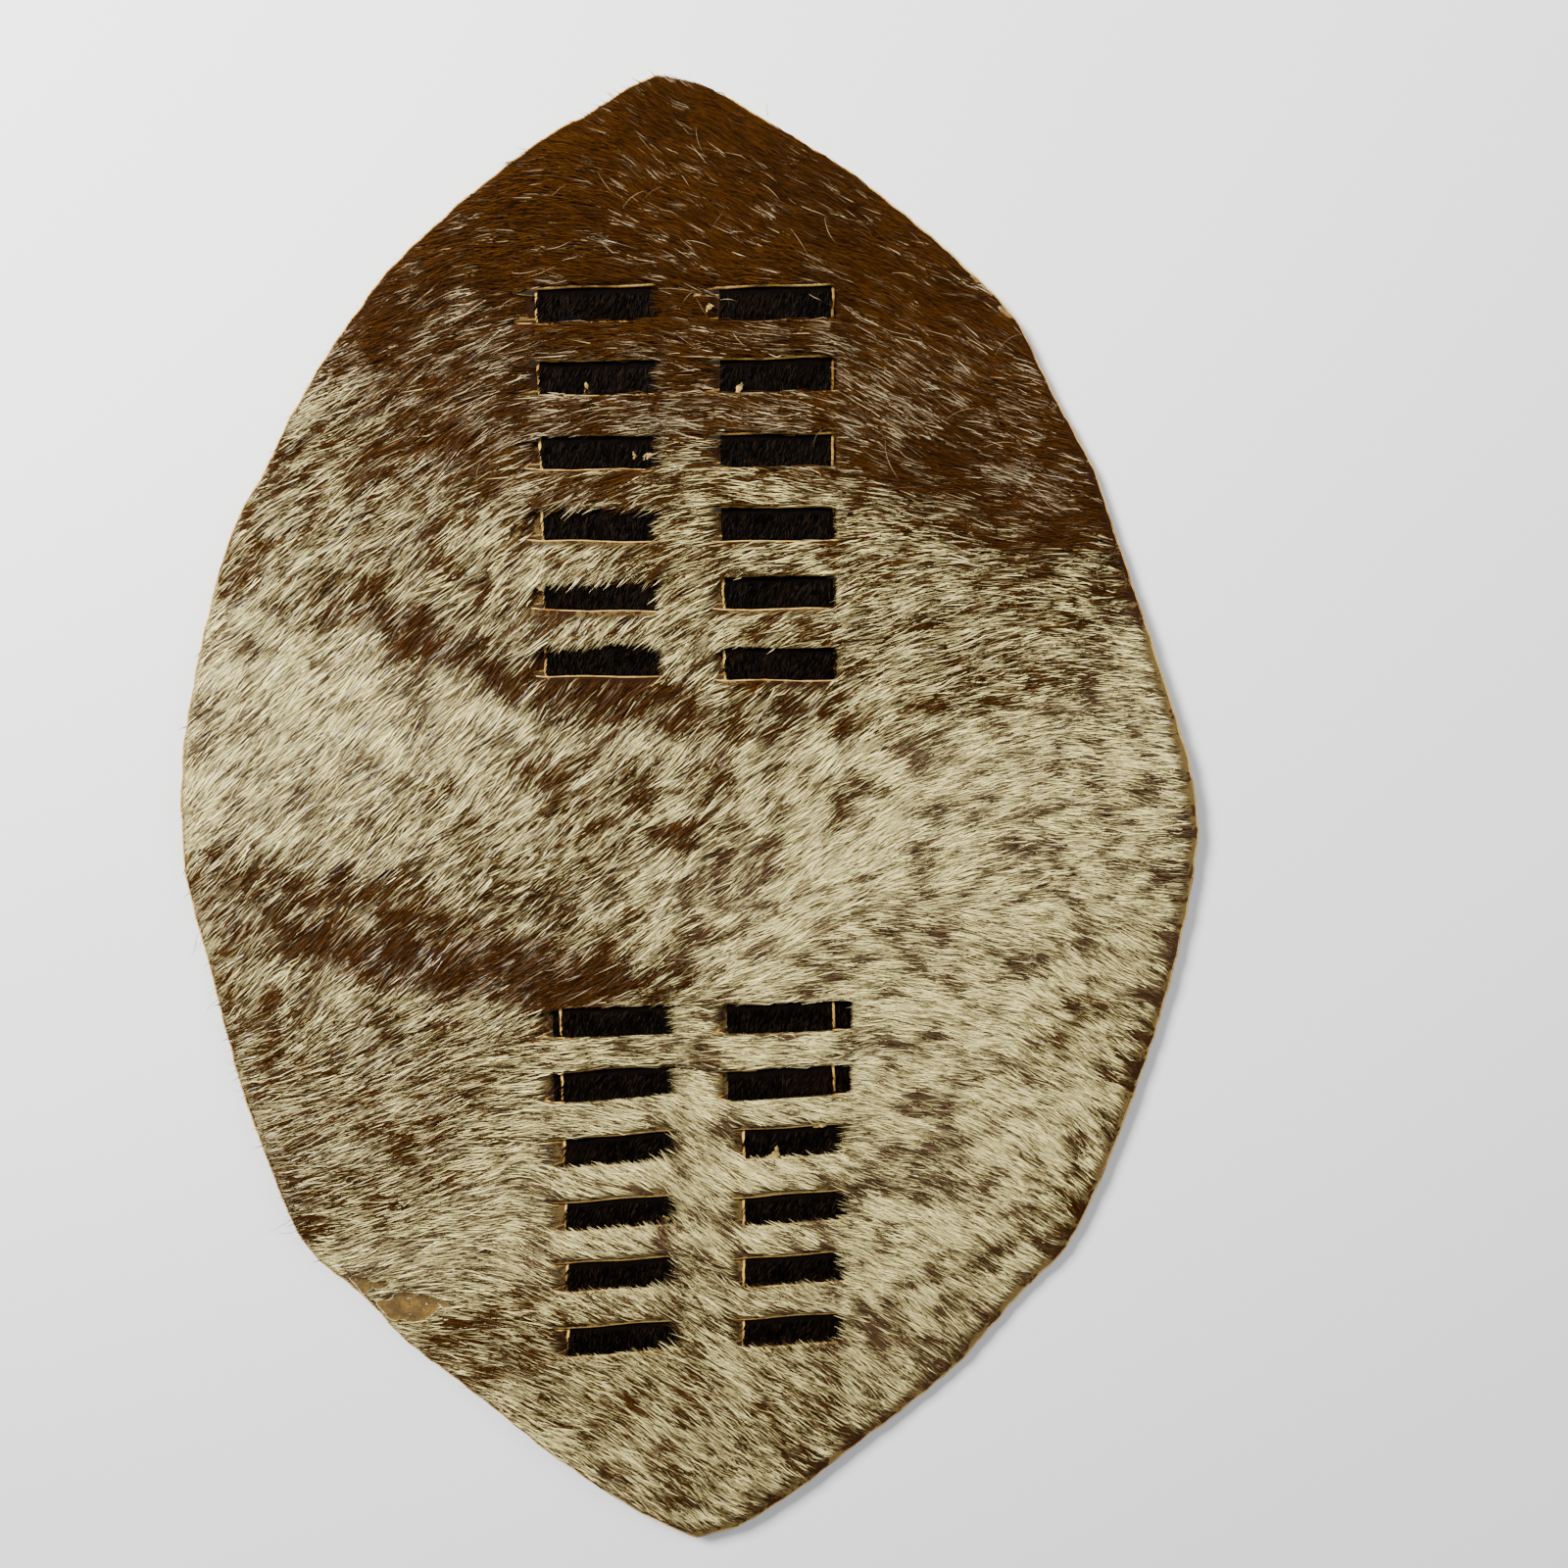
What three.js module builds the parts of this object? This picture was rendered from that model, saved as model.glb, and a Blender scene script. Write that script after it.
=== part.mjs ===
// Hide shield, lying with its hair side up. Millimetres, +Z up, +Y towards the shield's top.
// One pointed oval of dried hide has two columns of slits, and black hide strips are woven
// through them: in front of the band between a pair of slits, behind the band that shows.

import * as THREE from 'three';

// Overall hide
const shieldLength = 654;
const shieldWidth = 449;
const hideThickness = 2.4;
const outlineSamples = 112;
const fieldLines = 6; // mesh lines across the plain middle
const ringShares = [0.14, 0.4, 0.7, 1]; // mesh rings, from the woven middle out to the cut edge

// Slits, in two groups of rows, each row with a left and a right pair of slits
const topMargin = 83; // from the top tip down to the first slit
const bottomMargin = 94; // from the bottom tip up to the last slit
const leastMiddleField = 140; // plain hide kept between the two groups
const rowPitch = 30.2;
const windowHeight = 14.2; // from the slit above a showing piece of strip to the slit below it
const slitLength = 64.8;
const slitGap = 2; // how far a slit is pushed open by the strip
const slitEndGap = 0.7; // the same slit at its ends
const columnGap = 14.5; // plain hide between the left and the right slits
const columnShift = 3.2; // both columns sit this far right of the middle

// Black strips
const stripThickness = 1.8;
const leftSlitRoom = 12.8; // how much longer a slit is than the strip in it
const rightSlitRoom = 16.3;
const tuckLength = 24; // end of a strip hidden behind the hide
const easeLength = 12; // length over which the hide settles back to its plain level
const spliceRows = 2; // rows where an upper strip's tail and a lower strip lie together

// Fits
const layerClearance = 0.3;
const sideClearance = 0.5;
const endClearance = 1;

// Relief and warp of the dried hide
const bandRise = 1.5; // bands that show stand this far above the plain level
const bandDrop = 1.5; // bands that are covered lie this far below it
const topLift = 9; // the tips and long edges have curled up as the hide dried
const bottomLift = 5;
const sideLift = 4;
const rimWave = 1;
const rimWaves = 5;
const flatHalfLength = 150; // the flat middle that the shield lies on
const flatHalfWidth = 90;

// Levels of the middle of each layer, from the plain level of the hide
const weaveStep = (hideThickness + stripThickness) / 2 + layerClearance;
const layerStep = stripThickness + layerClearance;
const floorDepth = weaveStep + stripThickness / 2;

// Rows that fit between the margins
const groupLength = (shieldLength - topMargin - bottomMargin - leastMiddleField) / 2;
const rowCount = Math.max(1, Math.floor((groupLength - windowHeight) / rowPitch + 1));
const groupSpan = (rowCount - 1) * rowPitch + windowHeight;
const upperFirstCut = shieldLength / 2 - topMargin;
const lowerFirstCut = bottomMargin - shieldLength / 2 + groupSpan;

// Slits were cut by hand: each pair's shift down, and the slope of its cuts to the right
const handCut = {
  upperLeft: { shift: [0, -0.3, 0.5, 0.7, 0.4, -1.2], slope: [0.01, 0, -0.01, -0.03, -0.03, -0.02] },
  upperRight: { shift: [0.9, 0.1, 1.2, 2, 1, 1.9], slope: [0.01, 0.01, -0.01, -0.01, 0, -0.02] },
  lowerLeft: { shift: [0.4, -0.3, 1.2, 1.5, 0.8, 1.8], slope: [0.02, 0.06, 0.06, 0.06, 0.05, 0.06] },
  lowerRight: { shift: [0, 0.5, -1, 0.6, 0, -0.9], slope: [0.02, 0.05, 0.04, 0.07, 0.06, 0.06] },
};

const slitMiddle = (columnGap + slitLength) / 2;
const columns = {
  left: {
    middle: columnShift - slitMiddle,
    room: leftSlitRoom,
    // Where a strip lies in its slits: 1 against the right end, -1 against the left end
    upper: { first: 0.46, last: -0.48, layer: 'back' },
    lower: { first: 0.23, last: -0.13, layer: 'front' },
    cuts: [handCut.upperLeft, handCut.lowerLeft],
  },
  right: {
    middle: columnShift + slitMiddle,
    room: rightSlitRoom,
    upper: { first: -0.07, last: -0.6, layer: 'front' },
    lower: { first: 0.39, last: -0.1, layer: 'back' },
    cuts: [handCut.upperRight, handCut.lowerRight],
  },
};

// Outline, cut by hand: shares of half the width and half the length, clockwise from the top tip
const outlineShares = [
  [-0.01, 1], [0.07, 0.985], [0.18, 0.943], [0.33, 0.882], [0.5, 0.791], [0.64, 0.697],
  [0.712, 0.603], [0.788, 0.509], [0.836, 0.415], [0.93, 0.225], [0.982, 0.109], [1, 0.021],
  [0.965, -0.149], [0.88, -0.355], [0.752, -0.567], [0.655, -0.64], [0.522, -0.746], [0.323, -0.858],
  [0.11, -0.967], [-0.005, -1], [-0.118, -0.967], [-0.292, -0.885], [-0.478, -0.773], [-0.606, -0.697],
  [-0.7, -0.621], [-0.805, -0.548], [-0.88, -0.403], [-0.92, -0.297], [-0.962, -0.135], [-0.992, -0.02],
  [-0.991, 0.079], [-0.973, 0.179], [-0.867, 0.433], [-0.788, 0.527], [-0.708, 0.621], [-0.575, 0.742],
  [-0.491, 0.8], [-0.257, 0.918], [-0.137, 0.961], [-0.07, 0.986],
];

function outlinePoints() {
  const drawn = outlineShares.map(([across, along]) => new THREE.Vector3(across, along, 0));
  const curve = new THREE.CatmullRomCurve3(drawn, true, 'centripetal');
  const sampled = curve.getSpacedPoints(outlineShares.length * 40);
  const box = new THREE.Box3().setFromPoints(sampled);
  const middle = box.getCenter(new THREE.Vector3());
  const size = box.getSize(new THREE.Vector3());
  const toSize = (p) => new THREE.Vector3(
    ((p.x - middle.x) / size.x) * shieldWidth,
    ((p.y - middle.y) / size.y) * shieldLength,
    0,
  );
  const full = sampled.slice(0, -1).map(toSize);
  // The outermost points stay as drawn, so that the sheet has its full length and width
  const chosen = new Set(Array.from({ length: outlineSamples }, (_, i) => (
    Math.round((i * full.length) / outlineSamples))));
  for (const reach of [(p) => p.x, (p) => -p.x, (p) => p.y, (p) => -p.y]) {
    chosen.add(full.indexOf(full.reduce((best, p) => (reach(p) > reach(best) ? p : best))));
  }
  return [...chosen].sort((a, b) => a - b).map((i) => full[i]).reverse();
}

// Height of the plain hide's middle over the floor
function plainLevel(x, y) {
  const end = Math.max(0, Math.abs(y) - flatHalfLength) / (shieldLength / 2 - flatHalfLength);
  const side = Math.max(0, Math.abs(x) - flatHalfWidth) / (shieldWidth / 2 - flatHalfWidth);
  const lift = (y > 0 ? topLift : bottomLift) * end ** 2 + sideLift * side ** 2;
  const wave = rimWave * Math.max(end, side) ** 2 * Math.sin(rimWaves * Math.atan2(y, x));
  return floorDepth + lift + wave;
}

// One line across a column of the weave, from slit end to slit end
function line(y, slope, rise, options = {}) {
  return { y, slope, rise, covered: false, doubled: false, gapBelow: false, edge: 0, ...options };
}

function groupLines(firstCut, cuts, doubledRows) {
  const lines = [];
  const rise = (row) => (row < doubledRows ? layerStep : bandRise);
  const place = (row) => {
    const top = firstCut - row * rowPitch - (cuts.shift[row] ?? 0);
    return { top, bottom: top - windowHeight, slope: cuts.slope[row] ?? 0 };
  };
  for (let row = 0; row < rowCount; row += 1) {
    const { top, bottom, slope } = place(row);
    const doubled = row < doubledRows;
    const cover = { covered: true, doubled };
    lines.push(line(top, slope, rise(row), { doubled, gapBelow: true, edge: -1 }));
    lines.push(line(top - slitGap, slope, -bandDrop, { ...cover, edge: 1 }));
    lines.push(line((top + bottom) / 2, slope, -bandDrop, cover));
    lines.push(line(bottom + slitGap, slope, -bandDrop, { ...cover, gapBelow: true, edge: -1 }));
    lines.push(line(bottom, slope, rise(row), { doubled, edge: 1 }));
    if (row < rowCount - 1) {
      const next = place(row + 1);
      lines.push(line((bottom + next.top) / 2, (slope + next.slope) / 2, rise(row), { doubled, band: true }));
    }
  }
  return lines;
}

// All lines of a column, from above its first slit to below its last one
function columnLines(column) {
  const doubledRows = Math.min(spliceRows, rowCount);
  const upper = groupLines(upperFirstCut, column.cuts[0], 0);
  const lower = groupLines(lowerFirstCut, column.cuts[1], doubledRows);
  const first = upper[0];
  const upperEnd = upper[upper.length - 1];
  const lowerStart = lower[0];
  const last = lower[lower.length - 1];
  const tucked = line(lowerStart.y + tuckLength, 0, layerStep, { doubled: true });
  const settled = upperEnd.y - easeLength;
  const raised = tucked.y + easeLength;
  const field = Array.from({ length: fieldLines }, (_, i) => (
    line(THREE.MathUtils.lerp(settled, raised, i / (fieldLines - 1)), 0, 0)));
  return {
    upper: [line(first.y + easeLength, 0, 0), ...upper, ...field, tucked],
    lower: [...lower, line(last.y - easeLength, 0, 0)],
  };
}

// Left and right edge of a strip at a height y
function stripEdges(column, strip, y) {
  const width = slitLength - column.room;
  const [from, to] = strip === column.upper
    ? [upperFirstCut, lowerFirstCut - spliceRows * rowPitch]
    : [lowerFirstCut, lowerFirstCut - groupSpan];
  const share = THREE.MathUtils.clamp((from - y) / (from - to), 0, 1);
  const lean = THREE.MathUtils.lerp(strip.first, strip.last, share);
  const middle = column.middle + (lean * column.room) / 2;
  return [middle - width / 2, middle + width / 2];
}

function stripsAt(column, here, part) {
  if (part === 'upper' && !here.doubled) return [column.upper];
  return here.doubled ? [column.upper, column.lower] : [column.lower];
}

// Points of one line: slit end, strip edge, strip middle, strip edge, slit end
function linePoints(column, here, part) {
  const edges = stripsAt(column, here, part).map((strip) => stripEdges(column, strip, here.y));
  const left = Math.min(...edges.map(([x]) => x)) - sideClearance;
  const right = Math.max(...edges.map(([, x]) => x)) + sideClearance;
  const ends = [column.middle - slitLength / 2, column.middle + slitLength / 2];
  const closing = (here.edge * (slitGap - slitEndGap)) / 2;
  const across = (x) => here.y + here.slope * (x - column.middle);
  const flat = (x) => [x, across(x) + closing, 0];
  const lifted = (x) => [x, across(x), here.rise];
  return [flat(ends[0]), lifted(left), lifted((left + right) / 2), lifted(right), flat(ends[1])]
    .map(([x, y, rise]) => new THREE.Vector3(x, y, plainLevel(x, y) + rise));
}

// A sheet of even thickness over a triangulated middle surface, closed by a wall all round
function sheetGeometry(points, faces, thickness) {
  const count = points.length;
  const positions = [];
  for (const side of [1, -1]) {
    for (const p of points) positions.push(p.x, p.y, p.z + (side * thickness) / 2);
  }
  const index = [];
  const directed = new Set();
  for (const [a, b, c] of faces) {
    index.push(a, b, c, count + a, count + c, count + b);
    for (const [from, to] of [[a, b], [b, c], [c, a]]) directed.add(`${from}_${to}`);
  }
  for (const edge of directed) {
    const [from, to] = edge.split('_').map(Number);
    if (!directed.has(`${to}_${from}`)) {
      index.push(count + from, count + to, to, count + from, to, from);
    }
  }
  const geometry = new THREE.BufferGeometry();
  geometry.setAttribute('position', new THREE.Float32BufferAttribute(positions, 3));
  geometry.setIndex(index);
  geometry.computeVertexNormals();
  return geometry;
}

// Triangles between two closed rings, both counter-clockwise about the middle, outer first
function zipRings(points, outer, inner) {
  const turn = (i, start) => {
    const angle = Math.atan2(points[i].y, points[i].x) - start;
    return angle - Math.floor(angle / (2 * Math.PI)) * 2 * Math.PI;
  };
  const start = Math.atan2(points[outer[0]].y, points[outer[0]].x);
  let offset = 0;
  for (let i = 1; i < inner.length; i += 1) {
    if (turn(inner[i], start) < turn(inner[offset], start)) offset = i;
  }
  const turned = inner.map((_, i) => inner[(i + offset) % inner.length]);
  const outerTurn = (i) => (i >= outer.length ? 2 * Math.PI : turn(outer[i], start));
  const innerTurn = (i) => (
    i >= turned.length ? 2 * Math.PI + turn(turned[0], start) : turn(turned[i], start));
  const faces = [];
  let o = 0;
  let n = 0;
  while (o < outer.length || n < turned.length) {
    const outerHere = outer[o % outer.length];
    const innerHere = turned[n % turned.length];
    const stepOuter = n >= turned.length || (o < outer.length && outerTurn(o + 1) <= innerTurn(n + 1));
    if (stepOuter) {
      faces.push([outerHere, outer[(o + 1) % outer.length], innerHere]);
      o += 1;
    } else {
      faces.push([outerHere, turned[(n + 1) % turned.length], innerHere]);
      n += 1;
    }
  }
  return faces;
}

// Where a ray from the middle through a point leaves a closed polygon
function rayMeets(polygon, target) {
  let best = null;
  for (let i = 0; i < polygon.length; i += 1) {
    const a = polygon[i];
    const b = polygon[(i + 1) % polygon.length];
    const edge = b.clone().sub(a);
    const scale = target.x * edge.y - target.y * edge.x;
    if (Math.abs(scale) > 1e-9) {
      const along = (a.x * edge.y - a.y * edge.x) / scale;
      const share = (a.x * target.y - a.y * target.x) / scale;
      if (along > 0 && share >= -1e-6 && share <= 1 + 1e-6 && (!best || along > best)) best = along;
    }
  }
  return target.clone().multiplyScalar(best);
}

function buildHide(lines) {
  const points = [];
  const faces = [];
  const rows = [];
  for (const part of ['upper', 'lower']) {
    lines.left[part].forEach((leftLine, i) => {
      const rightLine = lines.right[part][i];
      const rowPoints = [
        ...linePoints(columns.left, leftLine, part),
        ...linePoints(columns.right, rightLine, part),
      ];
      rows.push({
        index: rowPoints.map((p) => points.push(p) - 1),
        gapBelow: leftLine.gapBelow,
      });
    });
  }

  // Woven middle, left open between the lips of each slit
  const perColumn = rows[0].index.length / 2;
  for (let r = 0; r < rows.length - 1; r += 1) {
    const above = rows[r].index;
    const below = rows[r + 1].index;
    for (let c = 0; c < above.length - 1; c += 1) {
      const betweenColumns = c === perColumn - 1;
      if (!rows[r].gapBelow || betweenColumns) {
        faces.push([above[c], below[c], below[c + 1]]);
        faces.push([above[c], below[c + 1], above[c + 1]]);
      }
    }
  }

  // Plain hide around it, in rings out to the cut edge
  const last = rows[0].index.length - 1;
  const leftSide = rows.map((row) => row.index[0]);
  const rightSide = rows.map((row) => row.index[last]).reverse();
  const bottomSide = rows[rows.length - 1].index.slice(1, -1);
  const topSide = rows[0].index.slice(1, -1).reverse();
  let inner = [...leftSide, ...bottomSide, ...rightSide, ...topSide];
  const blockEdge = inner.map((i) => points[i]);
  const outline = outlinePoints();
  const starts = outline.map((p) => rayMeets(blockEdge, p));
  for (const share of ringShares) {
    const ring = outline.map((p, i) => {
      const x = THREE.MathUtils.lerp(starts[i].x, p.x, share);
      const y = THREE.MathUtils.lerp(starts[i].y, p.y, share);
      return points.push(new THREE.Vector3(x, y, plainLevel(x, y))) - 1;
    });
    faces.push(...zipRings(points, ring, inner));
    inner = ring;
  }
  return sheetGeometry(points, faces, hideThickness);
}

// Level of a strip's middle at a line, from the plain level
function stripLevel(here, layer) {
  const beside = here.doubled ? layerStep : 0;
  if (here.covered) return -bandDrop + weaveStep + (layer === 'front' ? beside : 0);
  return here.rise - weaveStep - (layer === 'back' ? beside : 0);
}

function buildStrip(column, strip, stations) {
  const points = [];
  const faces = [];
  stations.forEach((here, i) => {
    const level = stripLevel(here, strip.layer);
    for (const x of stripEdges(column, strip, here.y)) {
      const y = here.y + here.slope * (x - column.middle);
      points.push(new THREE.Vector3(x, y, plainLevel(x, y) + level));
    }
    if (i > 0) {
      const a = 2 * (i - 1);
      faces.push([a, a + 2, a + 3], [a, a + 3, a + 1]);
    }
  });
  return sheetGeometry(points, faces, stripThickness);
}

// The upper strip runs from behind the top of the hide down to behind the band under the splice
function upperStations(lines) {
  const first = lines.upper[0];
  const start = line(first.y - easeLength + tuckLength, 0, 0);
  const spliceEnd = lines.lower.filter((here) => here.doubled);
  const end = spliceEnd[spliceEnd.length - 1];
  const tail = { ...end, y: end.y + (end.band ? endClearance : -endClearance) };
  return [start, ...lines.upper, ...spliceEnd.slice(0, end.band ? -1 : undefined), tail];
}

// The lower strip starts behind the plain middle of the hide and ends behind its lower part
function lowerStations(lines) {
  const tucked = lines.upper[lines.upper.length - 1];
  const last = lines.lower[lines.lower.length - 1];
  const start = { ...tucked, y: tucked.y - endClearance };
  const end = line(last.y + easeLength - tuckLength, 0, 0);
  return [start, ...lines.lower, end];
}

const hideMaterial = new THREE.MeshStandardMaterial({
  color: 0xb9a583, roughness: 0.85, metalness: 0, flatShading: true,
});
const stripMaterial = new THREE.MeshStandardMaterial({
  color: 0x1c1511, roughness: 0.7, metalness: 0, flatShading: true,
});

const lines = { left: columnLines(columns.left), right: columnLines(columns.right) };
const shield = new THREE.Group();

function addPiece(name, geometry, material) {
  const piece = new THREE.Mesh(geometry, material);
  piece.name = name;
  shield.add(piece);
}

addPiece('shield_hide', buildHide(lines), hideMaterial);
for (const side of ['left', 'right']) {
  const column = columns[side];
  const upper = buildStrip(column, column.upper, upperStations(lines[side]));
  const lower = buildStrip(column, column.lower, lowerStations(lines[side]));
  addPiece(`upper_${side}_strip`, upper, stripMaterial);
  addPiece(`lower_${side}_strip`, lower, stripMaterial);
}

export default shield;
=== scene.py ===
# %% [markdown]
# # A hide shield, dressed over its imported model
# The real thing is one pointed oval of dried cowhide with the hair left on. Two columns of slits
# are cut through it, and strips of black hide are laced in and out of them. This lesson loads the
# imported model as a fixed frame, and then makes each piece again with the detail that a solid model
# leaves out: worn cut edges, a flesh side, and a coat of several hundred thousand separate hairs.

import math

import bpy
import numpy as np
from mathutils import Matrix, Vector
from mathutils.bvhtree import BVHTree
from mathutils.geometry import delaunay_2d_cdt


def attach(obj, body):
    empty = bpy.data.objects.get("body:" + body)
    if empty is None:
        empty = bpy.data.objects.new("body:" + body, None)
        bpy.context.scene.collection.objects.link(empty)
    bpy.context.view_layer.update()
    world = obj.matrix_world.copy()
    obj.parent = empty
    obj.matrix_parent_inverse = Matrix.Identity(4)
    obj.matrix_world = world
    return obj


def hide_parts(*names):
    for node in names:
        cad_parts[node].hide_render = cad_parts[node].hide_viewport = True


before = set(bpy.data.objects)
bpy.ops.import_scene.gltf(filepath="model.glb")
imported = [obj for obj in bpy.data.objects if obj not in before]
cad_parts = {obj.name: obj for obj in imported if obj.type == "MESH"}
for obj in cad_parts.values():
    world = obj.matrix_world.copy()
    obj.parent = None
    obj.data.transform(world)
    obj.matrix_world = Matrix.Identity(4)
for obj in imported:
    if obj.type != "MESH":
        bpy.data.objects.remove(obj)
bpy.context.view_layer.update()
MM = 0.001
print("frame nodes:", sorted(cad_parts))

# %% [markdown]
# ## The camera
# The shield is seen almost square on, from a little above its middle, so the lower tip looks wider
# than the top one. A camera could be placed by eye, but a look point, a tilt, a small roll and a
# distance are four numbers that can be measured from the outline, so those are used here.

# %% Camera
LOOK_AT = Vector((0.0418, 0.0308, 0.0045))
TILT = math.radians(8.0)
ROLL = math.radians(1.0)
DISTANCE = 0.694

view_direction = Vector((0, -math.sin(TILT), -math.cos(TILT)))
upright = Vector((0, math.cos(TILT), -math.sin(TILT)))
view_up = (math.cos(ROLL) * upright + math.sin(ROLL) * Vector((1, 0, 0))).normalized()
view_right = view_direction.cross(view_up).normalized()
camera_turn = Matrix((view_right, view_up, -view_direction)).transposed()

camera_data = bpy.data.cameras.new("camera")
camera_data.lens = 36
camera_data.sensor_width = 36
camera_data.clip_start = 0.01
camera = bpy.data.objects.new("camera", camera_data)
camera.matrix_world = Matrix.Translation(LOOK_AT - view_direction * DISTANCE) @ camera_turn.to_4x4()
bpy.context.scene.collection.objects.link(camera)
bpy.context.scene.camera = camera
print("camera at", [round(v, 3) for v in camera.matrix_world.translation])

# %% [markdown]
# ## Wiring nodes
# Every finish here is a network of nodes. Writing each one out in full would hide what it does,
# so a few small helpers place a node, fill or wire its inputs, and hand back its output.

# %% Node helpers
def plug_in(tree, socket, value):
    """Wires another node's output into a socket, or sets the socket's own value."""
    if isinstance(value, bpy.types.NodeSocket):
        tree.links.new(value, socket)
    elif value is not None:
        socket.default_value = value


def plug_in_all(tree, sockets, values):
    for name, value in values.items():
        plug_in(tree, sockets[name], value)


def place(tree, kind, inputs=None, **settings):
    node = tree.nodes.new(kind)
    for name, value in settings.items():
        setattr(node, name, value)
    plug_in_all(tree, node.inputs, inputs or {})
    return node


def position(tree):
    """Where a point of the surface is, in metres, so that a texture stays fixed in space."""
    return place(tree, "ShaderNodeNewGeometry").outputs["Position"]


def calc(tree, operation, a, b=None):
    node = place(tree, "ShaderNodeMath", {0: a, 1: b}, operation=operation)
    return node.outputs[0]


def centred(tree, value, amount):
    """A value from 0 to 1 turned into one about 0: half is taken off, then it is scaled."""
    return calc(tree, "MULTIPLY", calc(tree, "SUBTRACT", value, 0.5), amount)


def ramp_up(tree, value, low, high, to_low=0.0, to_high=1.0):
    """0 below low, 1 above high, and an S curve between."""
    node = place(tree, "ShaderNodeMapRange", {
        "Value": value, "From Min": low, "From Max": high, "To Min": to_low, "To Max": to_high,
    }, interpolation_type="SMOOTHSTEP")
    return node.outputs[0]


def blend(tree, share, first, second, how="MIX"):
    """Two colours mixed. A mix node has sockets for each kind of value: 6 and 7 are its colours."""
    node = place(tree, "ShaderNodeMix", data_type="RGBA", blend_type=how)
    plug_in_all(tree, node.inputs, {0: share, 6: first, 7: second})
    return node.outputs[2]


def mix_values(tree, share, first, second):
    node = place(tree, "ShaderNodeMix", data_type="FLOAT")
    plug_in_all(tree, node.inputs, {0: share, 2: first, 3: second})
    return node.outputs[0]


def speckle(tree, where, scale, detail=2.0, roughness=0.5, distortion=0.0):
    node = place(tree, "ShaderNodeTexNoise", {
        "Vector": where, "Scale": scale, "Detail": detail, "Roughness": roughness, "Distortion": distortion})
    return node.outputs[0]


def cell_edges(tree, where, scale):
    """How far it is to the border of a net of uneven cells."""
    node = place(tree, "ShaderNodeTexVoronoi", {"Vector": where, "Scale": scale}, feature="DISTANCE_TO_EDGE")
    return node.outputs["Distance"]


def stretched(tree, where, factors, turn=0.0):
    node = place(tree, "ShaderNodeMapping", {"Vector": where, "Scale": factors, "Rotation": (0, 0, turn)})
    return node.outputs[0]


def named_value(tree, name, output="Fac"):
    """A value that the mesh carries at each of its points."""
    return place(tree, "ShaderNodeAttribute", attribute_name=name).outputs[output]

# %% Colours, materials and node groups
def srgb(red, green, blue):
    """A colour as a screen shows it, 0 to 255, turned into the linear light that nodes use."""
    def channel(value):
        value /= 255
        return value / 12.92 if value <= 0.04045 else ((value + 0.055) / 1.055) ** 2.4
    return (channel(red), channel(green), channel(blue), 1.0)


def stain(tree, base, mask, low, high, colour, most=1.0):
    """A screen colour over a base: none where the mask is at low, and its full share at high."""
    return blend(tree, ramp_up(tree, mask, low, high, 0.0, most), base, srgb(*colour))


def add_bump(tree, shader, height, strength, distance):
    bump = place(tree, "ShaderNodeBump", {"Height": height, "Strength": strength, "Distance": distance})
    plug_in(tree, shader.inputs["Normal"], bump.outputs[0])


def new_material(name):
    material = bpy.data.materials.new(name)
    material.use_nodes = True
    tree = material.node_tree
    tree.nodes.clear()
    output = tree.nodes.new("ShaderNodeOutputMaterial")
    shader = tree.nodes.new("ShaderNodeBsdfPrincipled")
    tree.links.new(shader.outputs[0], output.inputs["Surface"])
    return material, tree, shader


def new_group(name, inputs, outputs):
    """An empty node group with named sockets, and its two end nodes."""
    group = bpy.data.node_groups.new(name, "ShaderNodeTree")
    for label, kind, value in inputs:
        socket = group.interface.new_socket(label, in_out="INPUT", socket_type=kind)
        if value is not None:
            socket.default_value = value
    for label, kind in outputs:
        group.interface.new_socket(label, in_out="OUTPUT", socket_type=kind)
    return group, place(group, "NodeGroupInput").outputs, place(group, "NodeGroupOutput").inputs


def use_group(tree, group, inputs):
    return place(tree, "ShaderNodeGroup", inputs, node_tree=group).outputs


VALUE, COLOUR, VECTOR = "NodeSocketFloat", "NodeSocketColor", "NodeSocketVector"

# %% [markdown]
# ## Floor and light
# A hide needs light from the side to show its hair, but soft light, or each hair would throw a
# hard black line. One large lamp stands high on the left, a wider and weaker one on the right, and
# a pale sky fills in. A single sun would be simpler and would look harsh.

# %% Pale floor
def build_floor():
    size = 3.0
    mesh = bpy.data.meshes.new("studio_floor")
    corners = [(-size, -size, 0), (size, -size, 0), (size, size, 0), (-size, size, 0)]
    mesh.from_pydata(corners, [], [(0, 1, 2, 3)])
    floor = bpy.data.objects.new("studio_floor", mesh)
    bpy.context.scene.collection.objects.link(floor)
    material, tree, shader = new_material("pale_paper")
    grain = speckle(tree, position(tree), 900.0, 3.0, 0.6)
    paper = blend(tree, grain, srgb(226, 227, 229), srgb(234, 235, 237))
    plug_in_all(tree, shader.inputs, {"Base Color": paper, "Roughness": 0.75})
    add_bump(tree, shader, grain, 0.12, 0.0003)
    mesh.materials.append(material)
    return floor


floor = build_floor()

# %% Lamps and sky
def add_lamp(name, at, aim, size, power, colour=(1, 1, 1)):
    data = bpy.data.lights.new(name, "AREA")
    data.shape = "SQUARE"
    data.size = size
    data.energy = power
    data.color = colour
    lamp = bpy.data.objects.new(name, data)
    lamp.location = at
    lamp.rotation_euler = (Vector(aim) - Vector(at)).to_track_quat("-Z", "Y").to_euler()
    bpy.context.scene.collection.objects.link(lamp)


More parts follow.
